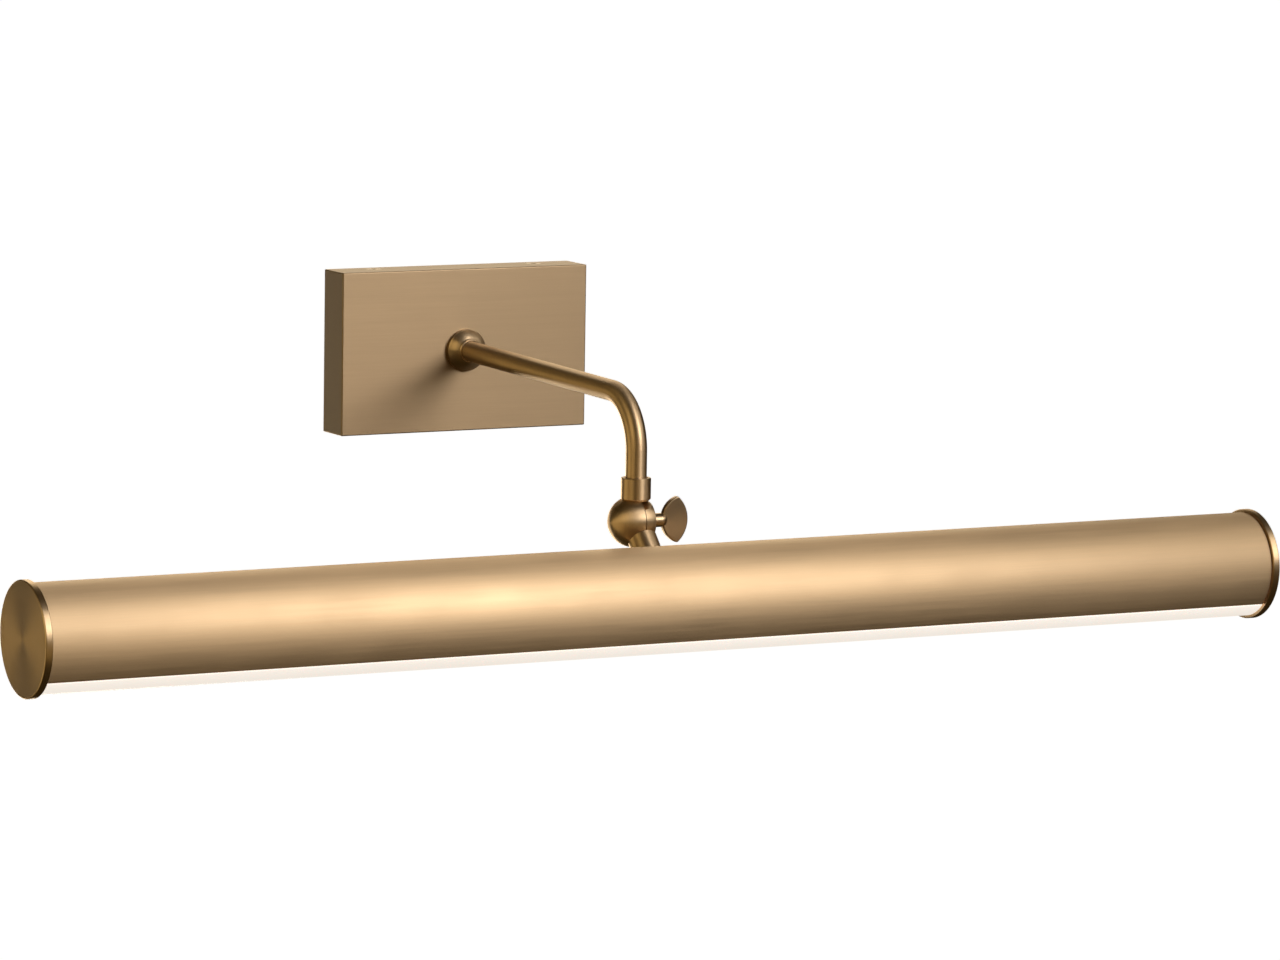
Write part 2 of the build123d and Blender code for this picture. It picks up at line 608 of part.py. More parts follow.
RAIL_TOP = -3.0                   # heights in the shade are counted from its axis
RAIL_THICKNESS = 2.0
RAIL_FLANGE_TOP = 5.0
RAIL_HALF_LENGTH = 290.0
RAIL_SCREW_X = (-270.0, -90.0, 90.0, 270.0)
RAIL_SCREW_Z = 1.5
CAP_SCREW_X = SHADE_HALF - 5.5
CAP_SCREW_DEG = 20.0              # above horizontal, on the wall side
CAP_SPIGOT_LENGTH = 10.0
BACK_SCREW_HOLE = 1.55            # hole radii: through the shade, into the cap and into the rail
CAP_SCREW_HOLE = 1.5
RAIL_SCREW_HOLE = 1.3
CAP_GAP = 0.25                    # joint line between the shade and the cap
CAP_RIM_ROUNDING = 0.6
CAP_INNER_CHAMFER = 0.3
SPIGOT_INNER_RADIUS = 19.4
SPIGOT_ARC_DEG = 151.0            # over the rail, on the upper side
DRILL_RANGE = (15.0, FAR)         # from inside the shade out through its back
DIFFUSER_SKIN_GAP_DEG = 0.4       # beside each edge of the slot
DIFFUSER_LIP_DEG = 54.0
DIFFUSER_INNER_RADIUS = 21.0


def shade_tube():
    slot_angle = 2 * SLOT_HALF_ANGLE_DEG
    section = ring_sector(
        SHADE_RADIUS,
        SHADE_BORE_RADIUS,
        -90 + SLOT_HALF_ANGLE_DEG,
        360 - slot_angle,
    )
    tube = to_shade * run_along_x(section, -SHADE_HALF, SHADE_HALF)
    tube -= along_neck(0) * Cylinder(NIPPLE_RADIUS + 0.1, 2 * SADDLE_FLAT)
    for x in RAIL_SCREW_X:
        tube -= to_shade * Pos(x, 0, RAIL_SCREW_Z) * cylinder_y(BACK_SCREW_HOLE, *DRILL_RANGE)
    for x in (-CAP_SCREW_X, CAP_SCREW_X):
        tube -= to_shade * Pos(x, 0, 0) * Rot(CAP_SCREW_DEG, 0, 0) * cylinder_y(BACK_SCREW_HOLE, *DRILL_RANGE)
    return tube


def end_cap(side):
    """A flat disc with a half-ring spigot that plugs into the shade above the rail."""
    inner_x = SHADE_HALF + CAP_GAP
    disc = cylinder_x(CAP_RADIUS, inner_x, inner_x + CAP_THICKNESS)
    outer_rim = disc.edges().filter_by(GeomType.CIRCLE).sort_by(Axis.X)[-1:]
    disc = fillet(outer_rim, CAP_RIM_ROUNDING)
    inner_rim = disc.edges().filter_by(GeomType.CIRCLE).sort_by(Axis.X)[:1]
    disc = chamfer(inner_rim, CAP_INNER_CHAMFER)
    spigot_start_deg = (HALF_TURN_DEG - SPIGOT_ARC_DEG) / 2
    spigot_section = ring_sector(
        SHADE_BORE_RADIUS - 0.05,
        SPIGOT_INNER_RADIUS,
        spigot_start_deg,
        SPIGOT_ARC_DEG,
    )
    spigot = run_along_x(spigot_section, inner_x - CAP_GAP - CAP_SPIGOT_LENGTH, inner_x)
    cap = disc + spigot
    cap -= Pos(CAP_SCREW_X, 0, 0) * Rot(CAP_SCREW_DEG, 0, 0) * cylinder_y(CAP_SCREW_HOLE, *DRILL_RANGE)
    if side < 0:
        cap = mirror(cap, about=Plane.YZ)
    return to_shade * cap


def end_cap_left():
    return end_cap(-1)


def end_cap_right():
    return end_cap(1)


def cap_set_screws():
    """Headless socket screws, flush with the back of the shade."""
    radius = 1.45
    socket_across_flats = 1.5
    socket_depth = 1.4
    outer_end = SHADE_RADIUS - 0.2
    screw = cylinder_y(radius, SPIGOT_INNER_RADIUS - 0.4, outer_end)
    socket = Pos(0, outer_end - socket_depth, 0) * Rot(-90, 0, 0) * hexagon_bar(socket_across_flats, FAR)
    screws = []
    for x in (-CAP_SCREW_X, CAP_SCREW_X):
        screws.append(to_shade * Pos(x, 0, 0) * Rot(CAP_SCREW_DEG, 0, 0) * (screw - socket))
    return screws


def diffuser():
    """Curved opal strip, flush with the shade, with lips that hook behind the slot's edges."""
    skin_half_angle = SLOT_HALF_ANGLE_DEG - DIFFUSER_SKIN_GAP_DEG
    middle_radius = SHADE_BORE_RADIUS - 0.1
    half_length = SHADE_HALF - 0.1
    skin = ring_sector(SHADE_RADIUS, middle_radius, -90 - skin_half_angle, 2 * skin_half_angle)
    lips = ring_sector(middle_radius, DIFFUSER_INNER_RADIUS, -90 - DIFFUSER_LIP_DEG, 2 * DIFFUSER_LIP_DEG)
    return to_shade * run_along_x(skin + lips, -half_length, half_length)


def led_rail():
    """Aluminium channel across the shade that carries the boards and takes their heat."""
    outer = SHADE_BORE_RADIUS - 0.1
    inner = outer - 2.0
    low_deg = -math.degrees(math.asin((RAIL_THICKNESS - RAIL_TOP) / outer))
    high_deg = math.degrees(math.asin(RAIL_FLANGE_TOP / outer))
    half_width = inner * math.cos(math.radians(low_deg)) + 0.5
    floor = Pos(0, RAIL_TOP - RAIL_THICKNESS / 2) * Rectangle(2 * half_width, RAIL_THICKNESS)
    flange = ring_sector(outer, inner, low_deg, high_deg - low_deg)
    section = floor + flange + mirror(flange, about=Plane.YZ)
    rail = run_along_x(section, -RAIL_HALF_LENGTH, RAIL_HALF_LENGTH)
    for x in RAIL_SCREW_X:
        rail -= Pos(x, 0, RAIL_SCREW_Z) * cylinder_y(RAIL_SCREW_HOLE, *DRILL_RANGE)
    rail -= Pos(LEAD_HOLE_X, 0, RAIL_TOP) * Cylinder(LEAD_HOLE_RADIUS, FAR)
    for x in (*BOARD_SCREW_X, *DRIVER_SCREW_X):
        rail -= Pos(x, 0, RAIL_TOP) * Cylinder(SMALL_SCREW_RADIUS + 0.05, FAR)
    return to_shade * rail


def rail_screws():
    """Small countersunk screws through the back of the shade into the rail."""
    head_radius = 1.5
    shank_radius = 1.25
    length = 4.6
    socket_radius = 0.8
    sunk = 0.15
    screw = Rot(-90, 0, 0) * flat_head_screw(head_radius, shank_radius, length, socket_radius)
    return [to_shade * Pos(x, SHADE_RADIUS - sunk, RAIL_SCREW_Z) * screw for x in RAIL_SCREW_X]


# ---------------------------------------------------------------- light source

BOARD_LENGTH = 286.0
BOARD_GAP = 2.0
BOARD_WIDTH = 22.0
BOARD_THICKNESS = 1.2
PAD_THICKNESS = 0.5
PAD_TOP = RAIL_TOP - RAIL_THICKNESS
BOARD_TOP = PAD_TOP - PAD_THICKNESS
BOARD_BOTTOM = BOARD_TOP - BOARD_THICKNESS
BOARD_STARTS = (-BOARD_GAP / 2 - BOARD_LENGTH, BOARD_GAP / 2)
BOARD_SCREW_INSETS = (6.0, BOARD_LENGTH / 2, BOARD_LENGTH - 6.0)
BOARD_SCREW_X = [start + inset for start in BOARD_STARTS for inset in BOARD_SCREW_INSETS]
BOARD_SCREW_HOLE = 1.5
SMALL_SCREW_RADIUS = 1.2          # board and driver screws
CHIP_SIZE = (3.5, 2.8, 0.8)
CHIP_ROW_Y = 5.0
CHIPS_PER_BOARD = 26
LEAD_HOLE_X = 36.0
LEAD_HOLE_RADIUS = 3.0
PAD_MARGIN = 0.5


def thermal_pads():
    pads = []
    for start in BOARD_STARTS:
        pad = block(
            (start + PAD_MARGIN, start + BOARD_LENGTH - PAD_MARGIN),
            (-BOARD_WIDTH / 2 + PAD_MARGIN, BOARD_WIDTH / 2 - PAD_MARGIN),
            (BOARD_TOP, PAD_TOP),
        )
        for x in BOARD_SCREW_X:
            pad -= Pos(x, 0, PAD_TOP) * Cylinder(BOARD_SCREW_HOLE + 0.3, FAR)
        pad -= Pos(LEAD_HOLE_X, 0, PAD_TOP) * Cylinder(LEAD_HOLE_RADIUS, FAR)
        pads.append(to_shade * pad)
    return pads


def led_board(start):
    y_range = (-BOARD_WIDTH / 2, BOARD_WIDTH / 2)
    board = block((start, start + BOARD_LENGTH), y_range, (BOARD_BOTTOM, BOARD_TOP))
    for x in BOARD_SCREW_X:
        board -= Pos(x, 0, BOARD_TOP) * Cylinder(BOARD_SCREW_HOLE, FAR)
    board -= Pos(LEAD_HOLE_X, 0, BOARD_TOP) * Cylinder(LEAD_HOLE_RADIUS, FAR)
    return to_shade * board


def led_board_left():
    return led_board(BOARD_STARTS[0])


def led_board_right():
    return led_board(BOARD_STARTS[1])


def led_chips():
    """Two rows of light-emitting packages under each board."""
    length, width, height = CHIP_SIZE
    pitch = BOARD_LENGTH / CHIPS_PER_BOARD
    chips = []
    for start in BOARD_STARTS:
        for index in range(CHIPS_PER_BOARD):
            row_y = CHIP_ROW_Y if index % 2 else -CHIP_ROW_Y
            middle = start + (index + 0.5) * pitch
            chips.append(Pos(middle, row_y, BOARD_BOTTOM - height / 2) * Box(length, width, height))
    return [to_shade * chip for chip in chips]


def board_screws():
    head_radius = 2.3
    head_height = 1.3
    length = BOARD_THICKNESS + PAD_THICKNESS + RAIL_THICKNESS
    screw = pan_head_screw(head_radius, head_height, SMALL_SCREW_RADIUS, length)
    return [to_shade * Pos(x, 0, BOARD_BOTTOM) * Rot(180, 0, 0) * screw for x in BOARD_SCREW_X]


def board_link():
    """The plug-in bridge that joins the two boards end to end."""
    half_length = 5.0
    y_range = (CHIP_ROW_Y + CHIP_SIZE[1] / 2 + 0.5, BOARD_WIDTH / 2 - 0.6)
    height = 2.4
    corner = 0.4
    body = block((-half_length, half_length), y_range, (BOARD_BOTTOM - height, BOARD_BOTTOM))
    return to_shade * chamfer(body.edges().group_by(Axis.Z)[0], corner)


# ---------------------------------------------------------------- LED driver

DRIVER_X = (60.0, 215.0)
DRIVER_HALF_WIDTH = 13.0
DRIVER_HEIGHT = 14.0
DRIVER_WALL = 1.4
DRIVER_TAB = 9.0
DRIVER_SCREW_X = (DRIVER_X[0] - DRIVER_TAB / 2, DRIVER_X[1] + DRIVER_TAB / 2)
DRIVER_LID_HEIGHT = 4.0
DRIVER_CORNER = 1.5
DRIVER_TAB_HALF_WIDTH = 5.0


def driver_case():
    """The driver's lower tray, with a fixing tab at each end."""
    top = RAIL_TOP + DRIVER_HEIGHT - DRIVER_LID_HEIGHT
    y_range = (-DRIVER_HALF_WIDTH, DRIVER_HALF_WIDTH)
    tray = block(DRIVER_X, y_range, (RAIL_TOP, top))
    tray = fillet(tray.edges().filter_by(Axis.Z), DRIVER_CORNER)
    inside_x = (DRIVER_X[0] + DRIVER_WALL, DRIVER_X[1] - DRIVER_WALL)
    inside_y = (-DRIVER_HALF_WIDTH + DRIVER_WALL, DRIVER_HALF_WIDTH - DRIVER_WALL)
    tray -= block(inside_x, inside_y, (RAIL_TOP + DRIVER_WALL, top + 1))
    tabs_x = (DRIVER_X[0] - DRIVER_TAB, DRIVER_X[1] + DRIVER_TAB)
    tabs_y = (-DRIVER_TAB_HALF_WIDTH, DRIVER_TAB_HALF_WIDTH)
    tabs = block(tabs_x, tabs_y, (RAIL_TOP, RAIL_TOP + DRIVER_WALL))
    tray += fillet(tabs.edges().filter_by(Axis.Z), DRIVER_CORNER)
    for x in DRIVER_SCREW_X:
        tray -= Pos(x, 0, RAIL_TOP) * Cylinder(SMALL_SCREW_RADIUS + 0.3, 4 * DRIVER_WALL)
    for x in DRIVER_X:
        tray -= Pos(x, 0, DRIVER_LEAD_Z) * cylinder_x(CABLE_RADIUS + 0.2, -2 * DRIVER_WALL, 2 * DRIVER_WALL)
    return to_shade * tray


def driver_lid():
    top = RAIL_TOP + DRIVER_HEIGHT
    bottom = top - DRIVER_LID_HEIGHT
    y_range = (-DRIVER_HALF_WIDTH, DRIVER_HALF_WIDTH)
    lid = block(DRIVER_X, y_range, (bottom, top))
    lid = fillet(lid.edges().filter_by(Axis.Z), DRIVER_CORNER)
    lid = fillet(lid.edges().group_by(Axis.Z)[-1], DRIVER_CORNER / 2)
    inside_x = (DRIVER_X[0] + DRIVER_WALL, DRIVER_X[1] - DRIVER_WALL)
    inside_y = (-DRIVER_HALF_WIDTH + DRIVER_WALL, DRIVER_HALF_WIDTH - DRIVER_WALL)
    return to_shade * (lid - block(inside_x, inside_y, (bottom - 1, top - DRIVER_WALL)))


DRIVER_LEAD_Z = RAIL_TOP + 6.5
DRIVER_BOARD_Z = (RAIL_TOP + 2.6, RAIL_TOP + 4.0)


def driver_board():
    """The driver's circuit board with its transformer, capacitors and coil."""
    side_margin = DRIVER_WALL + 0.4
    end_margin = DRIVER_WALL + 2.4
    standing = (Align.CENTER, Align.CENTER, Align.MIN)
    board = block(
        (DRIVER_X[0] + end_margin, DRIVER_X[1] - end_margin),
        (-DRIVER_HALF_WIDTH + side_margin, DRIVER_HALF_WIDTH - side_margin),
        DRIVER_BOARD_Z,
    )
    surface = DRIVER_BOARD_Z[1]
    middle_x = sum(DRIVER_X) / 2
    transformer = Pos(middle_x, 0, surface) * Box(18.0, 16.0, 7.5, align=standing)
    capacitor = Pos(0, 4.0, surface) * Cylinder(3.6, 7.0, align=standing)
    coil = Cylinder(5.0, 4.0, align=standing) - Cylinder(2.2, FAR)
    board += transformer
    for x in (DRIVER_X[0] + 24.0, DRIVER_X[0] + 36.0, DRIVER_X[1] - 30.0):
        board += Pos(x, 0, 0) * capacitor
    board += Pos(DRIVER_X[1] - 46.0, 0, surface) * coil
    return to_shade * board


def driver_screws():
    head_radius = 2.5
    head_height = 1.5
    screw = pan_head_screw(head_radius, head_height, SMALL_SCREW_RADIUS, DRIVER_WALL + RAIL_THICKNESS)
    return [to_shade * Pos(x, 0, RAIL_TOP + DRIVER_WALL) * screw for x in DRIVER_SCREW_X]


def driver_output_leads():
    """Two thin leads from the driver, along the rail and through it to the boards."""
    lead_radius = 0.7
    leads = []
    for side in (-1, 1):
        y = side * (lead_radius + 0.15)
        points = [
            (DRIVER_X[0] + 0.4, y, DRIVER_LEAD_Z),
            (DRIVER_X[0] - 12.0, y, DRIVER_LEAD_Z),
            (LEAD_HOLE_X, y, DRIVER_LEAD_Z - 1.0),
            (LEAD_HOLE_X, y, BOARD_BOTTOM + 0.3),
        ]
        leads.append(to_shade * wire_solid(points, [3.0, 3.0], lead_radius))
    return leads


def supply_cable_head():
    """The cable from the ball, down the neck and along the shade to the driver's far end.

    Its points are counted from the shade's axis.
    """
    lane_start = to_shade.inverse() * along_neck(5.4) * Pos(CABLE_LANE_RIGHT_X, 0, 0)
    lane_end = to_shade.inverse() * along_neck(13.0) * Pos(CABLE_LANE_RIGHT_X, 0, 0)
    in_nipple = to_shade.inverse() * along_neck(20.0)
    past_nipple = to_shade.inverse() * along_neck(NIPPLE_END + 6.5)
    beside_driver_y = DRIVER_HALF_WIDTH + CABLE_RADIUS + 2.1
    beside_driver_z = 7.5
    points = [
        lane_start.position,
        lane_end.position,
        in_nipple.position,
        past_nipple.position,
        Vector(34.0, 10.0, 7.0),
        Vector(DRIVER_X[0] + 10.0, beside_driver_y, beside_driver_z),
        Vector(DRIVER_X[1] + 4.0, beside_driver_y, beside_driver_z),
        Vector(DRIVER_X[1] + 20.0, 9.0, DRIVER_LEAD_Z),
        Vector(DRIVER_X[1] + 12.0, 0, DRIVER_LEAD_Z),
        Vector(DRIVER_X[1] - 0.6, 0, DRIVER_LEAD_Z),
    ]
    bend_radii = [6.0, 6.0, 5.0, 12.0, 20.0, 8.0, 5.0, 5.0]
    return to_shade * wire_solid(points, bend_radii, CABLE_RADIUS)


# ---------------------------------------------------------------- writing the files

SUB_PARTS = [
    backplate_cover,
    mounting_bracket,
    cover_screws,
    ground_screw,
    arm_flange,
    arm_tube,
    arm_lock_washer,
    arm_lock_nut,
    arm_bushing,
    supply_cable_arm,
    line_lead,
    neutral_lead,
    ground_lead,
    swivel_upper_half,
    swivel_friction_washer,
    thumb_screw_washer,
    thumb_screw,
    swivel_lower_half,
    neck_nipple,
    neck_saddle_washer,
    neck_nut,
    neck_bushing,
    shade_tube,
    end_cap_left,
    end_cap_right,
    cap_set_screws,
    diffuser,
    led_rail,
    rail_screws,
    thermal_pads,
    led_board_left,
    led_board_right,
    led_chips,
    board_screws,
    board_link,
    driver_case,
    driver_lid,
    driver_board,
    driver_screws,
    driver_output_leads,
    supply_cable_head,
]


def main():
    os.makedirs("parts", exist_ok=True)
    for build in SUB_PARTS:
        shape = build()
        if isinstance(shape, list):
            shape = Compound(children=shape)
        shape.label = build.__name__
        export_step(shape, os.path.join("parts", build.__name__ + ".step"))


main()
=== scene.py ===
import json
import math

import bmesh
import bpy
from mathutils import Matrix, Vector


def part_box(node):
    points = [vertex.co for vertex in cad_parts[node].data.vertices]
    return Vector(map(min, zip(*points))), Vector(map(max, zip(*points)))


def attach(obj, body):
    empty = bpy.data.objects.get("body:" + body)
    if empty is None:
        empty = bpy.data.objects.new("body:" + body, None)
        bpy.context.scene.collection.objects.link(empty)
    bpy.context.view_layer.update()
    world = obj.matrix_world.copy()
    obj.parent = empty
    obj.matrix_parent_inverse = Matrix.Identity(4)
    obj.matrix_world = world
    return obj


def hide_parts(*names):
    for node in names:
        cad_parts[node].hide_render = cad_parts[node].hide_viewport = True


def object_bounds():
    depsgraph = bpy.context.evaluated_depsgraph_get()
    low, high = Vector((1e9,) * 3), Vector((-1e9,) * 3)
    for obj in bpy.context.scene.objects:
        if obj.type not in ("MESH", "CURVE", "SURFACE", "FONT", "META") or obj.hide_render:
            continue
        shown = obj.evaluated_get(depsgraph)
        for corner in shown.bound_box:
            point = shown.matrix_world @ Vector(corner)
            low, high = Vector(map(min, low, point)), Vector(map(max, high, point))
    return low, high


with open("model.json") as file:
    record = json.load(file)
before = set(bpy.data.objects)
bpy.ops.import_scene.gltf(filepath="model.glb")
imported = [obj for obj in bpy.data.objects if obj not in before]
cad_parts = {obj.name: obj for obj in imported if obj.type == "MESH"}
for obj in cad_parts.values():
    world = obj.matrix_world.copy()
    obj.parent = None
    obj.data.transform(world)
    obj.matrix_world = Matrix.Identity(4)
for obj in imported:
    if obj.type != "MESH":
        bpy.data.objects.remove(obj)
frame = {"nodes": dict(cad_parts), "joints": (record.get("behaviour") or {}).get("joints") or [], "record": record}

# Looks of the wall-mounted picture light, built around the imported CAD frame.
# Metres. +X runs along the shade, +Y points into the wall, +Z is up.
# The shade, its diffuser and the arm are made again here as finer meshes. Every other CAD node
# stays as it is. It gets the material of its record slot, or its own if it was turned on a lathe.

MM = 0.001
X_AXIS = Vector((1, 0, 0))
Y_AXIS = Vector((0, 1, 0))
Z_AXIS = Vector((0, 0, 1))
WHOLE_TURN = 2 * math.pi
cad_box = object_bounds()

# ---------------------------------------------------------------- places read from the frame

HEAD_BODY = "head"
WALL_BODY = "wall_mount"
SHADE_WALL = 1.4 * MM

pivot = Vector(next(joint["pos_m"] for joint in frame["joints"] if joint["name"] == "head_tilt"))

shade_low, shade_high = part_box("shade_tube")
shade_radius = (shade_high.y - shade_low.y) / 2
shade_centre = Vector((0, (shade_high.y + shade_low.y) / 2, shade_high.z - shade_radius))
slot_half_angle = math.acos((shade_centre.z - shade_low.z) / shade_radius)
bore_radius = shade_radius - SHADE_WALL

arm_low, arm_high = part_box("arm_tube")
arm_radius = (arm_high.x - arm_low.x) / 2


# ---------------------------------------------------------------- camera

CAMERA_PLACE = Vector((-1.39895, -2.84746, 0.35136))
CAMERA_YAW = math.radians(27.828)        # from straight at the wall, towards +X
CAMERA_PITCH = math.radians(7.435)       # below the horizon
CAMERA_ROLL = math.radians(0.886)
CAMERA_LENS = 190.6
CAMERA_SENSOR = 36.0


def make_camera():
    """The camera stands to the left of the light, a little above it, and far back."""
    level = Vector((math.sin(CAMERA_YAW), math.cos(CAMERA_YAW), 0))
    forward = level * math.cos(CAMERA_PITCH) - Z_AXIS * math.sin(CAMERA_PITCH)
    upward = Z_AXIS * math.cos(CAMERA_PITCH) + level * math.sin(CAMERA_PITCH)
    rightward = forward.cross(upward)
    right = rightward * math.cos(CAMERA_ROLL) + upward * math.sin(CAMERA_ROLL)
    up = upward * math.cos(CAMERA_ROLL) - rightward * math.sin(CAMERA_ROLL)
    data = bpy.data.cameras.new("camera")
    data.lens = CAMERA_LENS
    data.sensor_width = CAMERA_SENSOR
    camera = bpy.data.objects.new("camera", data)
    turn = Matrix((right, up, -forward)).transposed()
    camera.matrix_world = Matrix.Translation(CAMERA_PLACE) @ turn.to_4x4()
    bpy.context.scene.collection.objects.link(camera)
    bpy.context.scene.camera = camera


# ---------------------------------------------------------------- materials

# The Mix node's sockets by number, because its colour and vector sockets share their names.
MIX_COLOURS = (6, 7)
MIX_COLOUR_RESULT = 2
MIX_VECTORS = (4, 5)
MIX_VECTOR_RESULT = 1

NOISE_ROUGHNESS = 0.55
EDGE_SAMPLES = 4
EDGE_LIKENESS = 0.80                     # the rounded and the flat normal agree this little on an edge
FACE_LIKENESS = 0.995                    # and this well away from one


class Paint:
    """A material made of one Principled shader, with the steps that the recipes below share."""

    def __init__(self, name):
        self.material = bpy.data.materials.new(name)
        self.material.use_nodes = True
        self.tree = self.material.node_tree
        self.tree.nodes.clear()
        self.shader = self.node("ShaderNodeBsdfPrincipled")
        output = self.node("ShaderNodeOutputMaterial")
        self.tree.links.new(self.shader.outputs["BSDF"], output.inputs["Surface"])
        self.place = self.node("ShaderNodeTexCoord").outputs["Object"]

    def node(self, kind, **settings):
        made = self.tree.nodes.new(kind)
        for name, value in settings.items():
            setattr(made, name, value)
        return made

    def feed(self, socket, value):
        """Links value to socket if it is another socket, and otherwise sets it there."""
        if isinstance(value, bpy.types.NodeSocket):
            self.tree.links.new(value, socket)
        else:
            socket.default_value = value

    def surface(self, **values):
        """Sets or links inputs of the shader; an underscore stands for a space in a name."""
        for name, value in values.items():
            self.feed(self.shader.inputs[name.replace("_", " ")], value)

    def math(self, operation, first, second):
        made = self.node("ShaderNodeMath", operation=operation)
        self.feed(made.inputs[0], first)
        self.feed(made.inputs[1], second)
        return made.outputs[0]

    def blend(self, first, second, first_share):
        """The weighted mean of two numbers."""
        weighted_first = self.math("MULTIPLY", first, first_share)
        weighted_second = self.math("MULTIPLY", second, 1 - first_share)
        return self.math("ADD", weighted_first, weighted_second)

    def vector(self, operation, first, second=(0, 0, 0)):
        made = self.node("ShaderNodeVectorMath", operation=operation)
        self.feed(made.inputs[0], first)
        self.feed(made.inputs[1], second)
        gives_number = operation in ("LENGTH", "DOT_PRODUCT")
        return made.outputs["Value" if gives_number else "Vector"]

    def noise(self, place, detail):
        """Noise from 0 to 1, one cell per unit of place."""
        made = self.node("ShaderNodeTexNoise")
        self.feed(made.inputs["Vector"], place)
        made.inputs["Scale"].default_value = 1.0
        made.inputs["Detail"].default_value = detail
        made.inputs["Roughness"].default_value = NOISE_ROUGHNESS
        return made.outputs["Fac"]

    def cells(self, size):
        """The place counted in cells of this size: one length, or one for each axis."""
        sizes = size if isinstance(size, tuple) else (size, size, size)
        return self.vector("MULTIPLY", self.place, tuple(1 / s for s in sizes))

    def spread(self, value, low, high, value_low=0.3, value_high=0.7):
        """Maps value_low..value_high to low..high, held at the ends."""
        made = self.node("ShaderNodeMapRange")
        self.feed(made.inputs["Value"], value)
        made.inputs["From Min"].default_value = value_low
        made.inputs["From Max"].default_value = value_high
        made.inputs["To Min"].default_value = low
        made.inputs["To Max"].default_value = high
        return made.outputs["Result"]

    def tint(self, factor, first, second):
        """A colour from first, at factor 0, to second, at factor 1."""
        made = self.node("ShaderNodeMix", data_type="RGBA")
        self.feed(made.inputs["Factor"], factor)
        for index, colour in zip(MIX_COLOURS, (first, second)):
            opaque = colour if isinstance(colour, bpy.types.NodeSocket) else (*colour, 1)
            self.feed(made.inputs[index], opaque)
        return made.outputs[MIX_COLOUR_RESULT]

    def pick(self, condition, first, second):
        """The vector first where condition is 0, and second where it is 1."""
        made = self.node("ShaderNodeMix", data_type="VECTOR")
        self.feed(made.inputs["Factor"], condition)
        for index, vector in zip(MIX_VECTORS, (first, second)):
            self.feed(made.inputs[index], vector)
        return made.outputs[MIX_VECTOR_RESULT]

    def bump(self, height, depth):
        """Turns height, from 0 to 1, into relief of this depth in metres."""
        made = self.node("ShaderNodeBump")
        made.inputs["Strength"].default_value = 1.0
        made.inputs["Distance"].default_value = depth
        self.feed(made.inputs["Height"], height)
        self.surface(Normal=made.outputs["Normal"])

    def edges(self, width):
        """1 on convex and concave edges, falling to 0 at about this width from them."""
        rounded = self.node("ShaderNodeBevel", samples=EDGE_SAMPLES)
        rounded.inputs["Radius"].default_value = width
        flat = self.node("ShaderNodeNewGeometry").outputs["Normal"]
        likeness = self.vector("DOT_PRODUCT", rounded.outputs["Normal"], flat)
        return self.spread(likeness, 1.0, 0.0, EDGE_LIKENESS, FACE_LIKENESS)


def shaded(colour, factor):
    return tuple(channel * factor for channel in colour)


BRASS = (0.60, 0.425, 0.24)
BRASS_WORN = (0.74, 0.57, 0.36)
STROKE_DARK = 0.92                       # shades of the brass between and on its brush strokes
STROKE_LIGHT = 1.07
STROKE_ROUGHNESS = 0.04
PATCH_SIZE = 45 * MM                     # cloudy patches, from handling and lacquer
PATCH_DARK = 0.94
PATCH_SHARE = 0.35
PATCH_ROUGHNESS = 0.02
WORN_SHARE = 0.5                         # how far an edge goes towards BRASS_WORN
WORN_SMOOTHING = 0.08
PLATE_EDGE = 0.5 * MM                    # width of the rubbed stretch along an edge
TURNED_EDGE = 0.4 * MM
TUBE_EDGE = 0.3 * MM
GRAIN_OFF_AXIS = (1.0, 0.02, 0.0)        # along X, and enough off it to work on the faces that look along X
GRAIN_MAP = "grain"


def finish_brass(paint, strokes, painted_brightness, roughness, anisotropy, across, edge):
    """Satin brass under thin lacquer: brush strokes, cloudy patches, and edges rubbed a little brighter."""
    # The brightness factor scales the brass part by part: below 1 it paints shade onto the part, above 1 it paints
    # light.
    patches = paint.noise(paint.cells(PATCH_SIZE), detail=2.0)
    worn = paint.edges(edge)
    dark = shaded(BRASS, STROKE_DARK * painted_brightness)
    light = shaded(BRASS, STROKE_LIGHT * painted_brightness)
    colour = paint.tint(paint.spread(strokes, 0, 1), dark, light)
    colour = paint.tint(paint.spread(patches, 0, PATCH_SHARE), colour, shaded(BRASS, PATCH_DARK * painted_brightness))
    colour = paint.tint(paint.math("MULTIPLY", worn, WORN_SHARE), colour, shaded(BRASS_WORN, painted_brightness))
    rough = paint.spread(strokes, roughness - STROKE_ROUGHNESS, roughness + STROKE_ROUGHNESS)
    rough = paint.math("ADD", rough, paint.spread(patches, -PATCH_ROUGHNESS, PATCH_ROUGHNESS))
    rough = paint.math("SUBTRACT", rough, paint.math("MULTIPLY", worn, WORN_SMOOTHING))
    paint.surface(Base_Color=colour, Metallic=1.0, Roughness=rough, Anisotropic=anisotropy)
    paint.surface(Coat_Weight=0.2, Coat_Roughness=0.4)
    if across is not None:
        paint.surface(Tangent=across)
    return paint.material


FINE_STROKE = (28 * MM, 0.32 * MM, 0.32 * MM)
BROAD_STROKE = (90 * MM, 1.6 * MM, 1.6 * MM)


def brushed_brass(name, painted_brightness, roughness, anisotropy):
    """Brass with brush strokes along X: the shade and the backplate."""
    paint = Paint(name)
    fine = paint.noise(paint.cells(FINE_STROKE), detail=4.0)
    broad = paint.noise(paint.cells(BROAD_STROKE), detail=2.0)
    strokes = paint.blend(fine, broad, first_share=0.6)
    normal = paint.node("ShaderNodeNewGeometry").outputs["Normal"]
    across = paint.vector("CROSS_PRODUCT", normal, GRAIN_OFF_AXIS)
    paint.bump(strokes, depth=0.008 * MM)
    return finish_brass(paint, strokes, painted_brightness, roughness, anisotropy, across, PLATE_EDGE)


SCRATCH_WIDTH = 0.25 * MM                # along the tube
SCRATCH_LENGTH = 6 * MM                  # round it


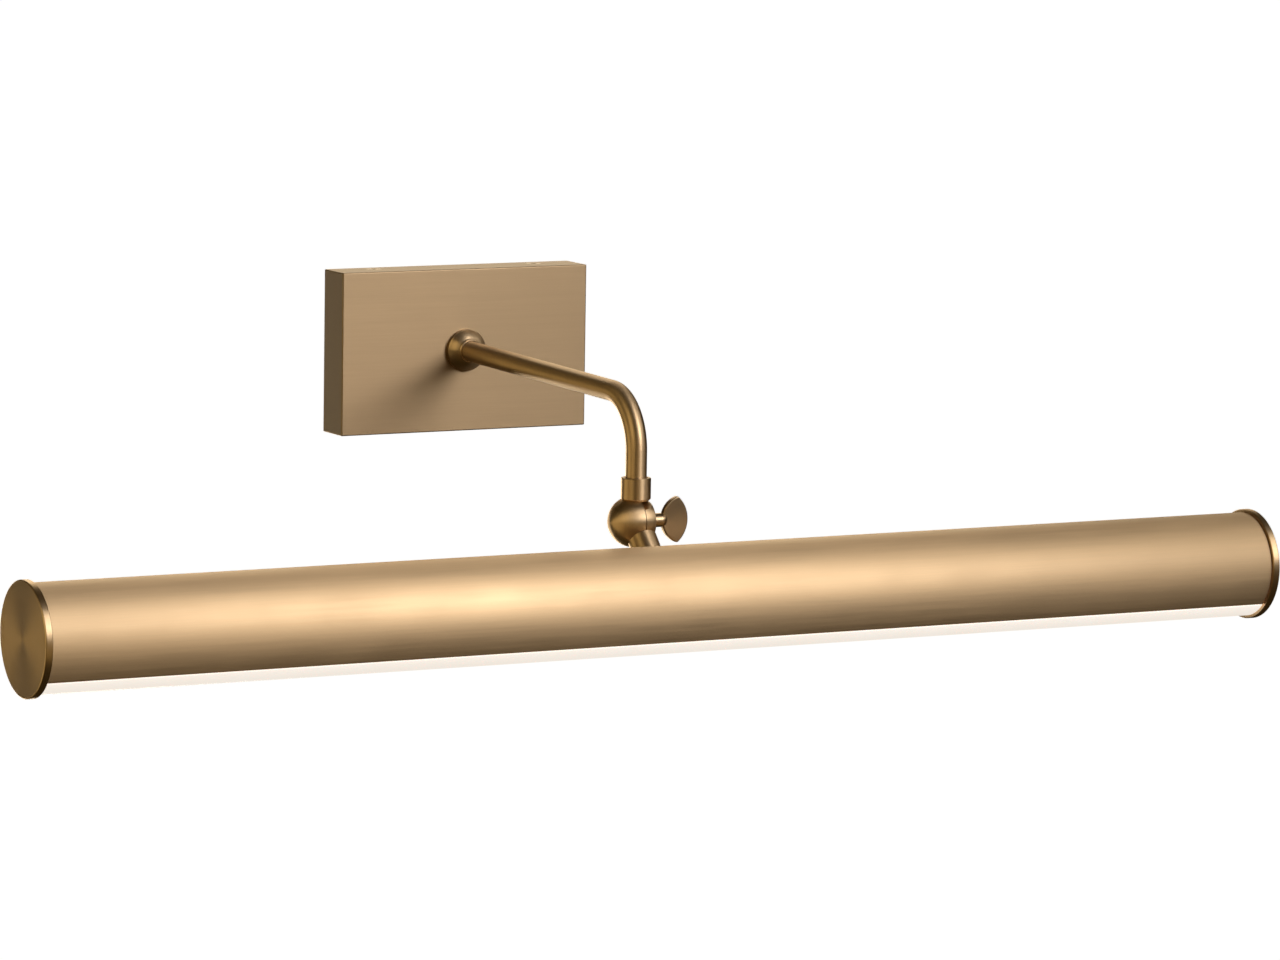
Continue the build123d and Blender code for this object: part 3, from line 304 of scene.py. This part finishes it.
def belt_polished_brass(name, painted_brightness, roughness, anisotropy):
    """Brass with fine scratches round a bent tube, which has its length on the first axis of its map."""
    paint = Paint(name)
    flat = paint.node("ShaderNodeUVMap", uv_map=GRAIN_MAP).outputs["UV"]
    scratches = paint.vector("MULTIPLY", flat, (1 / SCRATCH_WIDTH, 1 / SCRATCH_LENGTH, 1))
    fine = paint.noise(scratches, detail=4.0)
    along = paint.node("ShaderNodeTangent", direction_type="UV_MAP", uv_map=GRAIN_MAP).outputs["Tangent"]
    paint.bump(fine, depth=0.004 * MM)
    return finish_brass(paint, fine, painted_brightness, roughness, anisotropy, along, TUBE_EDGE)


LATHE_FEED = 0.35 * MM                   # from one ring of the lathe to the next


def turning(paint, centre, axis):
    """Two sockets for a part turned on a lathe: fine rings round the axis, and the direction of the cut."""
    from_centre = paint.vector("SUBTRACT", paint.place, tuple(centre))
    cut = paint.vector("CROSS_PRODUCT", tuple(axis), from_centre)
    radius = paint.vector("LENGTH", cut)
    height = paint.vector("DOT_PRODUCT", from_centre, tuple(axis))
    rings = paint.node("ShaderNodeCombineXYZ")
    paint.feed(rings.inputs["X"], paint.math("DIVIDE", radius, LATHE_FEED))
    paint.feed(rings.inputs["Y"], paint.math("DIVIDE", height, LATHE_FEED))
    return rings.outputs["Vector"], cut


TURNED_GRIT = 0.5 * MM
CAST_GRIT = 0.35 * MM


def turned_brass(name, painted_brightness, roughness, anisotropy, centre, axis, stem_axis=None, ball=None):
    """Lathe-turned brass. With a ball (centre, radius), axis is for the ball and stem_axis for its stem."""
    paint = Paint(name)
    rings, cut = turning(paint, centre, axis)
    if stem_axis is not None:
        stem_rings, stem_cut = turning(paint, centre, stem_axis)
        ball_centre, ball_radius = ball
        from_ball = paint.vector("LENGTH", paint.vector("SUBTRACT", paint.place, tuple(ball_centre)))
        on_stem = paint.math("GREATER_THAN", from_ball, ball_radius)
        rings = paint.pick(on_stem, rings, stem_rings)
        cut = paint.pick(on_stem, cut, stem_cut)
    lines = paint.noise(rings, detail=3.0)
    grit = paint.noise(paint.cells(TURNED_GRIT), detail=3.0)
    texture = paint.blend(lines, grit, first_share=0.6)
    to_world = paint.node("ShaderNodeVectorTransform", vector_type="VECTOR")
    to_world.convert_from = "OBJECT"
    to_world.convert_to = "WORLD"
    paint.feed(to_world.inputs["Vector"], cut)
    normal = paint.node("ShaderNodeNewGeometry").outputs["Normal"]
    across = paint.vector("CROSS_PRODUCT", normal, to_world.outputs["Vector"])
    paint.bump(texture, depth=0.010 * MM)
    return finish_brass(paint, texture, painted_brightness, roughness, anisotropy, across, TURNED_EDGE)


def cast_brass(name, painted_brightness, roughness):
    """Cast brass with a fine grit and no direction: the thumb screw and the cover's screws."""
    paint = Paint(name)
    grit = paint.noise(paint.cells(CAST_GRIT), detail=3.0)
    paint.bump(grit, depth=0.006 * MM)
    return finish_brass(paint, grit, painted_brightness, roughness, 0.0, None, TURNED_EDGE)


def opal_acrylic(name):
    """Milky extruded plastic, softly lit from inside, with faint lines from the die."""
    paint = Paint(name)
    die_line = (300 * MM, 0.8 * MM, 0.8 * MM)
    lines = paint.noise(paint.cells(die_line), detail=3.0)
    cloud = paint.noise(paint.cells(30 * MM), detail=2.0)
    body = (0.90, 0.88, 0.85)
    denser = shaded(body, 0.97)
    warm_glow = (1.0, 0.93, 0.85)
    pale_glow = (1.0, 0.95, 0.89)
    colour = paint.tint(paint.spread(cloud, 0, 1), denser, body)
    glow = paint.tint(paint.spread(cloud, 0, 1), warm_glow, pale_glow)
    paint.surface(Base_Color=colour, Roughness=paint.spread(lines, 0.34, 0.44))
    paint.surface(Subsurface_Weight=0.25, Subsurface_Scale=2 * MM, IOR=1.49)
    paint.surface(Emission_Color=glow, Emission_Strength=0.80)
    paint.bump(lines, depth=0.004 * MM)
    return paint.material


def plated_steel(name):
    """Zinc plate: pale, a little blue, with cloudy patches and fine rolling lines."""
    paint = Paint(name)
    rolling_line = (14 * MM, 0.3 * MM, 0.3 * MM)
    lines = paint.noise(paint.cells(rolling_line), detail=3.0)
    cloud = paint.noise(paint.cells(5 * MM), detail=4.0)
    worn = paint.edges(width=0.3 * MM)
    dull_zinc = (0.56, 0.58, 0.62)
    bright_zinc = (0.72, 0.73, 0.72)
    rubbed_zinc = (0.80, 0.80, 0.78)
    colour = paint.tint(paint.spread(cloud, 0, 1), dull_zinc, bright_zinc)
    colour = paint.tint(paint.math("MULTIPLY", worn, 0.5), colour, rubbed_zinc)
    rough = paint.math("ADD", paint.spread(cloud, 0.30, 0.44), paint.spread(lines, -0.04, 0.04))
    paint.surface(Base_Color=colour, Metallic=1.0, Roughness=rough)
    paint.bump(lines, depth=0.006 * MM)
    return paint.material


def green_screw(name):
    """A steel screw dyed green, rubbed back to metal on its edges."""
    paint = Paint(name)
    cloud = paint.noise(paint.cells(1.5 * MM), detail=4.0)
    worn = paint.edges(width=0.25 * MM)
    deep_green = (0.04, 0.26, 0.10)
    light_green = (0.09, 0.40, 0.17)
    bare_metal = (0.55, 0.62, 0.55)
    colour = paint.tint(paint.spread(cloud, 0, 1), deep_green, light_green)
    colour = paint.tint(paint.math("MULTIPLY", worn, 0.6), colour, bare_metal)
    paint.surface(Base_Color=colour, Metallic=0.85, Roughness=paint.spread(cloud, 0.30, 0.42))
    paint.bump(cloud, depth=0.01 * MM)
    return paint.material


def extruded_aluminium(name):
    """Mill-finish aluminium with long lines from the die."""
    paint = Paint(name)
    die_line = (120 * MM, 0.25 * MM, 0.25 * MM)
    lines = paint.noise(paint.cells(die_line), detail=3.0)
    cloud = paint.noise(paint.cells(20 * MM), detail=3.0)
    dull = (0.70, 0.71, 0.72)
    bright = (0.80, 0.80, 0.81)
    colour = paint.tint(paint.spread(cloud, 0, 1), dull, bright)
    paint.surface(Base_Color=colour, Metallic=1.0, Roughness=paint.spread(lines, 0.28, 0.42))
    paint.bump(lines, depth=0.008 * MM)
    return paint.material


SKIN_CLOUD = 8 * MM
SKIN_DARK = 0.88
SKIN_ROUGHNESS = 0.06


def moulded(name, colour, roughness, grain_size=0.5 * MM, relief=0.01 * MM):
    """Moulded or coated plastic: an even colour with a little cloudiness and a fine skin texture."""
    paint = Paint(name)
    grain = paint.noise(paint.cells(grain_size), detail=3.0)
    cloud = paint.noise(paint.cells(SKIN_CLOUD), detail=3.0)
    toned = paint.tint(paint.spread(cloud, 0, 1), shaded(colour, SKIN_DARK), colour)
    rough = paint.spread(grain, roughness - SKIN_ROUGHNESS, roughness + SKIN_ROUGHNESS)
    paint.surface(Base_Color=toned, Roughness=rough)
    paint.bump(grain, relief)
    return paint.material


FINE_GRAIN = 0.25 * MM
SHALLOW = 0.004 * MM


def record_materials():
    """One material for each material slot of the record."""
    return {
        # Painted shade darkens the backplate's brass and the cast brass.
        "satin_brass": brushed_brass("brass_plate", painted_brightness=0.57, roughness=0.44, anisotropy=0.72),
        "turned_brass": cast_brass("brass_cast", painted_brightness=0.66, roughness=0.34),
        "opal_acrylic": opal_acrylic("opal"),
        "aluminium": extruded_aluminium("aluminium_extruded"),
        "zinc_steel": plated_steel("steel_zinc_plated"),
        "green_screw": green_screw("steel_green"),
        "nylon": moulded("nylon_natural", (0.84, 0.82, 0.76), 0.45),
        "black_plastic": moulded("plastic_black", (0.030, 0.030, 0.032), 0.48),
        "white_plastic": moulded("plastic_white", (0.82, 0.82, 0.80), 0.42),
        "board_white": moulded("solder_mask_white", (0.84, 0.85, 0.84), 0.30, FINE_GRAIN, SHALLOW),
        "board_green": moulded("solder_mask_green", (0.03, 0.22, 0.09), 0.28, FINE_GRAIN, SHALLOW),
        "led_yellow": moulded("led_phosphor", (0.90, 0.72, 0.22), 0.35, 0.2 * MM, SHALLOW),
        "thermal_grey": moulded("thermal_pad", (0.40, 0.41, 0.43), 0.70, 0.4 * MM, 0.02 * MM),
        "lead_black": moulded("insulation_black", (0.022, 0.022, 0.024), 0.40),
        "lead_white": moulded("insulation_white", (0.80, 0.80, 0.77), 0.40),
        "lead_green": moulded("insulation_green", (0.04, 0.30, 0.08), 0.40),
        "lead_red": moulded("insulation_red", (0.50, 0.03, 0.025), 0.40),
        "cable_grey": moulded("cable_sheath", (0.17, 0.17, 0.18), 0.50),
    }


FLANGE_CENTRE = Vector((0, 0, 0))        # any point on the axis of the flange
BALL_OFFSET = Vector((-1.2 * MM, 0, 0))  # from the pivot to the ball's centre
BALL_REACH = 11.52 * MM                  # just outside the ball, where its stems begin


def turned_parts():
    """A material for each turned CAD node, because the rings follow that part's own axis."""
    to_shade = (shade_centre - pivot).normalized()
    ball = (pivot + BALL_OFFSET, BALL_REACH)
    cap = {"painted_brightness": 1.0, "roughness": 0.40, "anisotropy": 0.5, "centre": shade_centre, "axis": X_AXIS}
    half = {"painted_brightness": 1.0, "roughness": 0.46, "anisotropy": 0.75, "centre": pivot, "axis": X_AXIS, "ball": ball}
    return {
        # Painted shade darkens the flange's brass a little.
        "arm_flange": turned_brass("brass_flange", 0.84, 0.38, 0.6, FLANGE_CENTRE, Y_AXIS),
        "end_cap_left": turned_brass("brass_cap_left", **cap),
        "end_cap_right": turned_brass("brass_cap_right", **cap),
        "swivel_upper_half": turned_brass("brass_ball_collar", **half, stem_axis=Z_AXIS),
        "swivel_lower_half": turned_brass("brass_ball_neck", **half, stem_axis=to_shade),
    }


# ---------------------------------------------------------------- mesh helpers

SMOOTH_ANGLE = math.radians(35)


def new_piece(name, mesh, body, material, replaced):
    """Puts a mesh in the scene as a piece that rides on a body and stands for a CAD node."""
    piece = bpy.data.objects.new(name, mesh)
    bpy.context.scene.collection.objects.link(piece)
    mesh.materials.clear()
    mesh.materials.append(material)
    mesh.polygons.foreach_set("use_smooth", [True] * len(mesh.polygons))
    mesh.set_sharp_from_angle(angle=SMOOTH_ANGLE)
    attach(piece, body)
    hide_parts(replaced)


def round_point(radius, angle):
    """A point (y, z) round the shade's axis; the angle is counted from straight down, towards +Y."""
    return (radius * math.sin(angle), -radius * math.cos(angle))


def arc_points(radius, start, end, steps):
    """Points (y, z) along an arc round the shade's axis."""
    return [round_point(radius, start + (end - start) * i / steps) for i in range(steps + 1)]


def lofted_section(name, sections):
    """A closed solid through rings of equal length.

    Each section is x and a ring of (y, z), counted from the shade's axis. The first half of a ring
    is closed to its second half at both ends.
    """
    work = bmesh.new()
    rings = []
    for x, ring in sections:
        rings.append([work.verts.new((x, shade_centre.y + y, shade_centre.z + z)) for y, z in ring])
    count = len(rings[0])
    for first, second in zip(rings, rings[1:]):
        for i in range(count):
            j = (i + 1) % count
            work.faces.new((first[i], first[j], second[j], second[i]))
    for ring in (rings[0], rings[-1]):
        for i in range(count // 2 - 1):
            work.faces.new((ring[i], ring[i + 1], ring[count - 2 - i], ring[count - 1 - i]))
    bmesh.ops.recalc_face_normals(work, faces=work.faces)
    mesh = bpy.data.meshes.new(name)
    work.to_mesh(mesh)
    work.free()
    return mesh


# ---------------------------------------------------------------- shade

ARC_STEPS = 220
END_BREAK = 0.2 * MM                     # broken edge at each end of the shade
LIP_FIRST = range(75, 0, -15)            # degrees round a lip, from the outside of the tube
LIP_MIDDLE = range(30, 180, 30)
LIP_LAST = range(165, 75, -15)
RAIL_SCREW_X = (-270 * MM, -90 * MM, 90 * MM, 270 * MM)
RAIL_SCREW_Z = 1.5 * MM
SCREW_HOLE_RADIUS = 1.55 * MM
CAP_SCREW_INSET = 5.5 * MM
CAP_SCREW_ANGLE = math.radians(20)       # above horizontal
NECK_HOLE_RADIUS = 5.0 * MM
HOLE_SIDES = 48


def shade_ring(outer, inner):
    """An open ring with round lips. It starts in the middle of one lip, so that its two halves pair up."""
    start = slot_half_angle
    end = WHOLE_TURN - slot_half_angle
    middle = (outer + inner) / 2
    lip = (outer - inner) / 2
    lip_angle = lip / middle
    outside = arc_points(outer, start + lip_angle, end - lip_angle, ARC_STEPS)
    inside = arc_points(inner, end - lip_angle, start + lip_angle, ARC_STEPS)

    def lip_points(angle, side, turns):
        points = []
        for degrees in turns:
            turn = math.radians(degrees)
            radius = middle + lip * math.cos(turn)
            points.append(round_point(radius, angle + side * lip_angle * math.sin(turn)))
        return points

    near = start + lip_angle
    far = end - lip_angle
    return (
        lip_points(near, -1, LIP_FIRST)
        + outside
        + lip_points(far, 1, LIP_MIDDLE)
        + inside
        + lip_points(near, -1, LIP_LAST)
    )


def drill(mesh_object, start, direction, radius, depth):
    """Cuts a round hole from start along direction, and returns the cutter."""
    bpy.ops.mesh.primitive_cylinder_add(vertices=HOLE_SIDES, radius=radius, depth=depth)
    cutter = bpy.context.object
    facing = direction.to_track_quat("Z", "X").to_matrix().to_4x4()
    cutter.matrix_world = Matrix.Translation(start + direction * depth / 2) @ facing
    cut = mesh_object.modifiers.new("hole", "BOOLEAN")
    cut.operation = "DIFFERENCE"
    cut.solver = "EXACT"
    cut.object = cutter
    return cutter


def make_shade(material):
    """The brass tube, with its light slot, and the holes for the neck and the screws in its back."""
    full = shade_ring(shade_radius, bore_radius)
    broken = shade_ring(shade_radius - END_BREAK, bore_radius + END_BREAK)
    left, right = shade_low.x, shade_high.x
    solid = lofted_section(
        "shade_solid",
        [(left, broken), (left + END_BREAK, full), (right - END_BREAK, full), (right, broken)],
    )
    work = bpy.data.objects.new("shade_work", solid)
    bpy.context.scene.collection.objects.link(work)
    depth = shade_radius
    cutters = []
    for x in RAIL_SCREW_X:
        start = shade_centre + Vector((x, depth / 2, RAIL_SCREW_Z))
        cutters.append(drill(work, start, Y_AXIS, SCREW_HOLE_RADIUS, depth))
    screw_direction = Vector((0, math.cos(CAP_SCREW_ANGLE), math.sin(CAP_SCREW_ANGLE)))
    for x in (left + CAP_SCREW_INSET, right - CAP_SCREW_INSET):
        start = Vector((x, shade_centre.y, shade_centre.z)) + screw_direction * depth / 2
        cutters.append(drill(work, start, screw_direction, SCREW_HOLE_RADIUS, depth))
    to_pivot = (pivot - shade_centre).normalized()
    cutters.append(drill(work, shade_centre + to_pivot * depth / 2, to_pivot, NECK_HOLE_RADIUS, depth))
    bpy.context.view_layer.update()
    evaluated = work.evaluated_get(bpy.context.evaluated_depsgraph_get())
    finished = bpy.data.meshes.new_from_object(evaluated)
    for used in (work, *cutters):
        bpy.data.objects.remove(used)
    new_piece("shade", finished, HEAD_BODY, material, "shade_tube")


# ---------------------------------------------------------------- diffuser

DIFFUSER_GAP_ANGLE = math.radians(0.4)
DIFFUSER_LIP_ANGLE = math.radians(54)
DIFFUSER_INNER = 21.0 * MM
DIFFUSER_LIP_GAP = 0.1 * MM
DIFFUSER_CORNER = 0.3 * MM
DIFFUSER_STEPS = 96
DIFFUSER_LIP_STEPS = 6


def make_diffuser(material):
    """The curved opal strip: a skin flush with the shade, and lips that hook behind the slot's edges."""
    low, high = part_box("diffuser")
    skin = slot_half_angle - DIFFUSER_GAP_ANGLE
    lip_outer = bore_radius - DIFFUSER_LIP_GAP
    shoulder = shade_radius - DIFFUSER_CORNER
    turn = DIFFUSER_CORNER / shade_radius
    outside = arc_points(shade_radius, -skin + turn, skin - turn, DIFFUSER_STEPS)
    wall_lip = arc_points(lip_outer, skin, DIFFUSER_LIP_ANGLE, DIFFUSER_LIP_STEPS)
    room_lip = arc_points(lip_outer, -DIFFUSER_LIP_ANGLE, -skin, DIFFUSER_LIP_STEPS)
    outer = room_lip + [round_point(shoulder, -skin)] + outside + [round_point(shoulder, skin)] + wall_lip
    inner = arc_points(DIFFUSER_INNER, DIFFUSER_LIP_ANGLE, -DIFFUSER_LIP_ANGLE, len(outer) - 1)
    ring = outer + inner
    mesh = lofted_section("diffuser_strip", [(low.x, ring), (high.x, ring)])
    new_piece("diffuser_strip", mesh, HEAD_BODY, material, "diffuser")


# ---------------------------------------------------------------- arm

ARM_WALL = 1.2 * MM
ARM_BEND = 24.8 * MM
ARM_DROOP = math.radians(1.0)
ARM_SOCKET_RISE = 11.6 * MM              # above the pivot, where the arm ends in the collar
ARM_BEND_STEPS = 40
ARM_ROUND_STEPS = 64


def arm_path():
    """Points and directions along the arm's centre line, from inside the backplate to the collar."""
    start = Vector((0, arm_high.y, arm_high.z - arm_radius))
    leg_direction = Vector((0, -math.cos(ARM_DROOP), -math.sin(ARM_DROOP)))
    turn = math.pi / 2 - ARM_DROOP
    reach = (start.y - pivot.y) / math.cos(ARM_DROOP)
    corner = start + leg_direction * reach
    tangent_length = ARM_BEND * math.tan(turn / 2)
    bend_start = corner - leg_direction * tangent_length
    toward_centre = Vector((0, math.sin(ARM_DROOP), -math.cos(ARM_DROOP)))
    bend_centre = bend_start + toward_centre * ARM_BEND
    path = [(start, leg_direction)]
    for i in range(ARM_BEND_STEPS + 1):
        swing = Matrix.Rotation(turn * i / ARM_BEND_STEPS, 3, X_AXIS)
        path.append((bend_centre + swing @ (bend_start - bend_centre), swing @ leg_direction))
    path.append((Vector((0, pivot.y, pivot.z + ARM_SOCKET_RISE)), -Z_AXIS))
    return path


def make_arm(material):
    """A bent tube with open ends. Its map has the tube's length along the first axis, in metres."""
    work = bmesh.new()
    grain = work.loops.layers.uv.new(GRAIN_MAP)
    path = arm_path()
    distances = [0.0]
    for (before, _), (after, _) in zip(path, path[1:]):
        distances.append(distances[-1] + (after - before).length)

    def ring(place, direction, radius):
        side = direction.cross(X_AXIS)
        corners = []
        for i in range(ARM_ROUND_STEPS):
            angle = WHOLE_TURN * i / ARM_ROUND_STEPS
            outward = X_AXIS * math.cos(angle) + side * math.sin(angle)
            corners.append(work.verts.new(place + outward * radius))
        return corners

    def wall(radius, flip):
        rings = [ring(place, direction, radius) for place, direction in path]
        step = WHOLE_TURN * radius / ARM_ROUND_STEPS
        for k in range(len(rings) - 1):
            for i in range(ARM_ROUND_STEPS):
                corners = [(k, i), (k, i + 1), (k + 1, i + 1), (k + 1, i)]
                if flip:
                    corners.reverse()
                face = work.faces.new([rings[along][across % ARM_ROUND_STEPS] for along, across in corners])
                for loop, (along, across) in zip(face.loops, corners):
                    loop[grain].uv = (distances[along], across * step)
        return rings

    outer = wall(arm_radius, False)
    inner = wall(arm_radius - ARM_WALL, True)
    for outer_ring, inner_ring in ((outer[0], inner[0]), (outer[-1], inner[-1])):
        for i in range(ARM_ROUND_STEPS):
            j = (i + 1) % ARM_ROUND_STEPS
            work.faces.new((outer_ring[i], outer_ring[j], inner_ring[j], inner_ring[i]))
    bmesh.ops.recalc_face_normals(work, faces=work.faces)
    mesh = bpy.data.meshes.new("arm")
    work.to_mesh(mesh)
    work.free()
    new_piece("arm", mesh, WALL_BODY, material, "arm_tube")


# ---------------------------------------------------------------- studio

FLOOR_HEIGHT = -4.0                      # low enough for a camera that looks up at the light
FLOOR_HALF = 150.0
PAPER_WHITE = (1.0, 1.0, 1.0, 1.0)
FLOOR_COLOUR = (0.85, 0.85, 0.85, 1.0)
ROOM_GLOW = (0.032, 0.022, 0.008, 1.0)


def make_floor():
    """A plain pale floor. Only the camera sees it, so that it doesn't fill in the metal's dark side."""
    mesh = bpy.data.meshes.new("floor")
    corners = ((-1, -1), (1, -1), (1, 1), (-1, 1))
    places = [(x * FLOOR_HALF, y * FLOOR_HALF, FLOOR_HEIGHT) for x, y in corners]
    mesh.from_pydata(places, [], [(0, 1, 2, 3)])
    floor = bpy.data.objects.new("floor", mesh)
    bpy.context.scene.collection.objects.link(floor)
    floor.visible_glossy = False
    floor.visible_diffuse = False
    paint = Paint("floor_paper")
    paint.surface(Base_Color=FLOOR_COLOUR, Roughness=0.9)
    paint.surface(Emission_Color=PAPER_WHITE, Emission_Strength=1.0)
    mesh.materials.append(paint.material)


def make_room_light():
    """White where the camera looks past the floor, and a dim warm glow for everything else."""
    world = bpy.data.worlds.new("room")
    bpy.context.scene.world = world
    world.use_nodes = True
    tree = world.node_tree
    tree.nodes.clear()
    rays = tree.nodes.new("ShaderNodeLightPath")
    mix = tree.nodes.new("ShaderNodeMixShader")
    output = tree.nodes.new("ShaderNodeOutputWorld")
    for index, colour in ((1, ROOM_GLOW), (2, PAPER_WHITE)):
        background = tree.nodes.new("ShaderNodeBackground")
        background.inputs["Color"].default_value = colour
        tree.links.new(background.outputs["Background"], mix.inputs[index])
    tree.links.new(rays.outputs["Is Camera Ray"], mix.inputs[0])
    tree.links.new(mix.outputs["Shader"], output.inputs["Surface"])


NEUTRAL = (1.0, 0.98, 1.0)

# name, azimuth and elevation in degrees, distance and size in metres, power in watts, colour:
# three from the front and the right, three weak warm fills, and two from behind
SOFTBOXES = (
    ("key_low", 25, 21, 1.8, 0.64, 11.4, NEUTRAL),
    ("key_high", 25, 42, 1.8, 0.64, 6.2, NEUTRAL),
    ("right", 60, 26, 1.4, 0.7, 2.4, (1.0, 0.97, 0.92)),
    ("low_fill", -4, -14, 1.4, 0.9, 1.0, (1.0, 0.72, 0.28)),
    ("left", -62, 22, 2.0, 1.4, 7.8, (1.0, 0.80, 0.42)),
    ("left_low", -110, -10, 2.0, 1.4, 6.2, (1.0, 0.79, 0.40)),
    ("behind_right", 158, 26, 2.6, 1.5, 14.0, (1.0, 0.88, 0.68)),
    ("behind", 176, -14, 2.6, 1.5, 30.0, (1.0, 0.86, 0.64)),
)


def softbox(name, azimuth, elevation, distance, size, power, colour):
    """A square light that looks at the picture light. Its azimuth is counted from -Y towards +X."""
    low, high = cad_box
    middle = Vector((0, (low.y + high.y) / 2, (low.z + high.z) / 2))
    turn = math.radians(azimuth)
    rise = math.radians(elevation)
    toward = Vector((math.sin(turn) * math.cos(rise), -math.cos(turn) * math.cos(rise), math.sin(rise)))
    data = bpy.data.lights.new(name, "AREA")
    data.shape = "SQUARE"
    data.size = size
    data.energy = power
    data.color = colour
    lamp = bpy.data.objects.new(name, data)
    facing = toward.to_track_quat("Z", "Y").to_matrix().to_4x4()
    lamp.matrix_world = Matrix.Translation(middle + toward * distance) @ facing
    bpy.context.scene.collection.objects.link(lamp)


# ---------------------------------------------------------------- the scene

make_camera()
materials = record_materials()
for subpart in frame["record"]["subparts"]:
    cad_node = frame["nodes"][subpart["node"]]
    cad_node.data.materials[0] = materials[subpart["material_slot"]]
for name, material in turned_parts().items():
    frame["nodes"][name].data.materials[0] = material
make_shade(brushed_brass("brass_shade", painted_brightness=1.0, roughness=0.50, anisotropy=0.80))
make_diffuser(materials["opal_acrylic"])
# Painted light brightens the arm's brass a little.
make_arm(belt_polished_brass("brass_arm", painted_brightness=1.05, roughness=0.46, anisotropy=0.7))
make_floor()
make_room_light()
for placing in SOFTBOXES:
    softbox(*placing)
bpy.context.scene.view_settings.view_transform = "Standard"
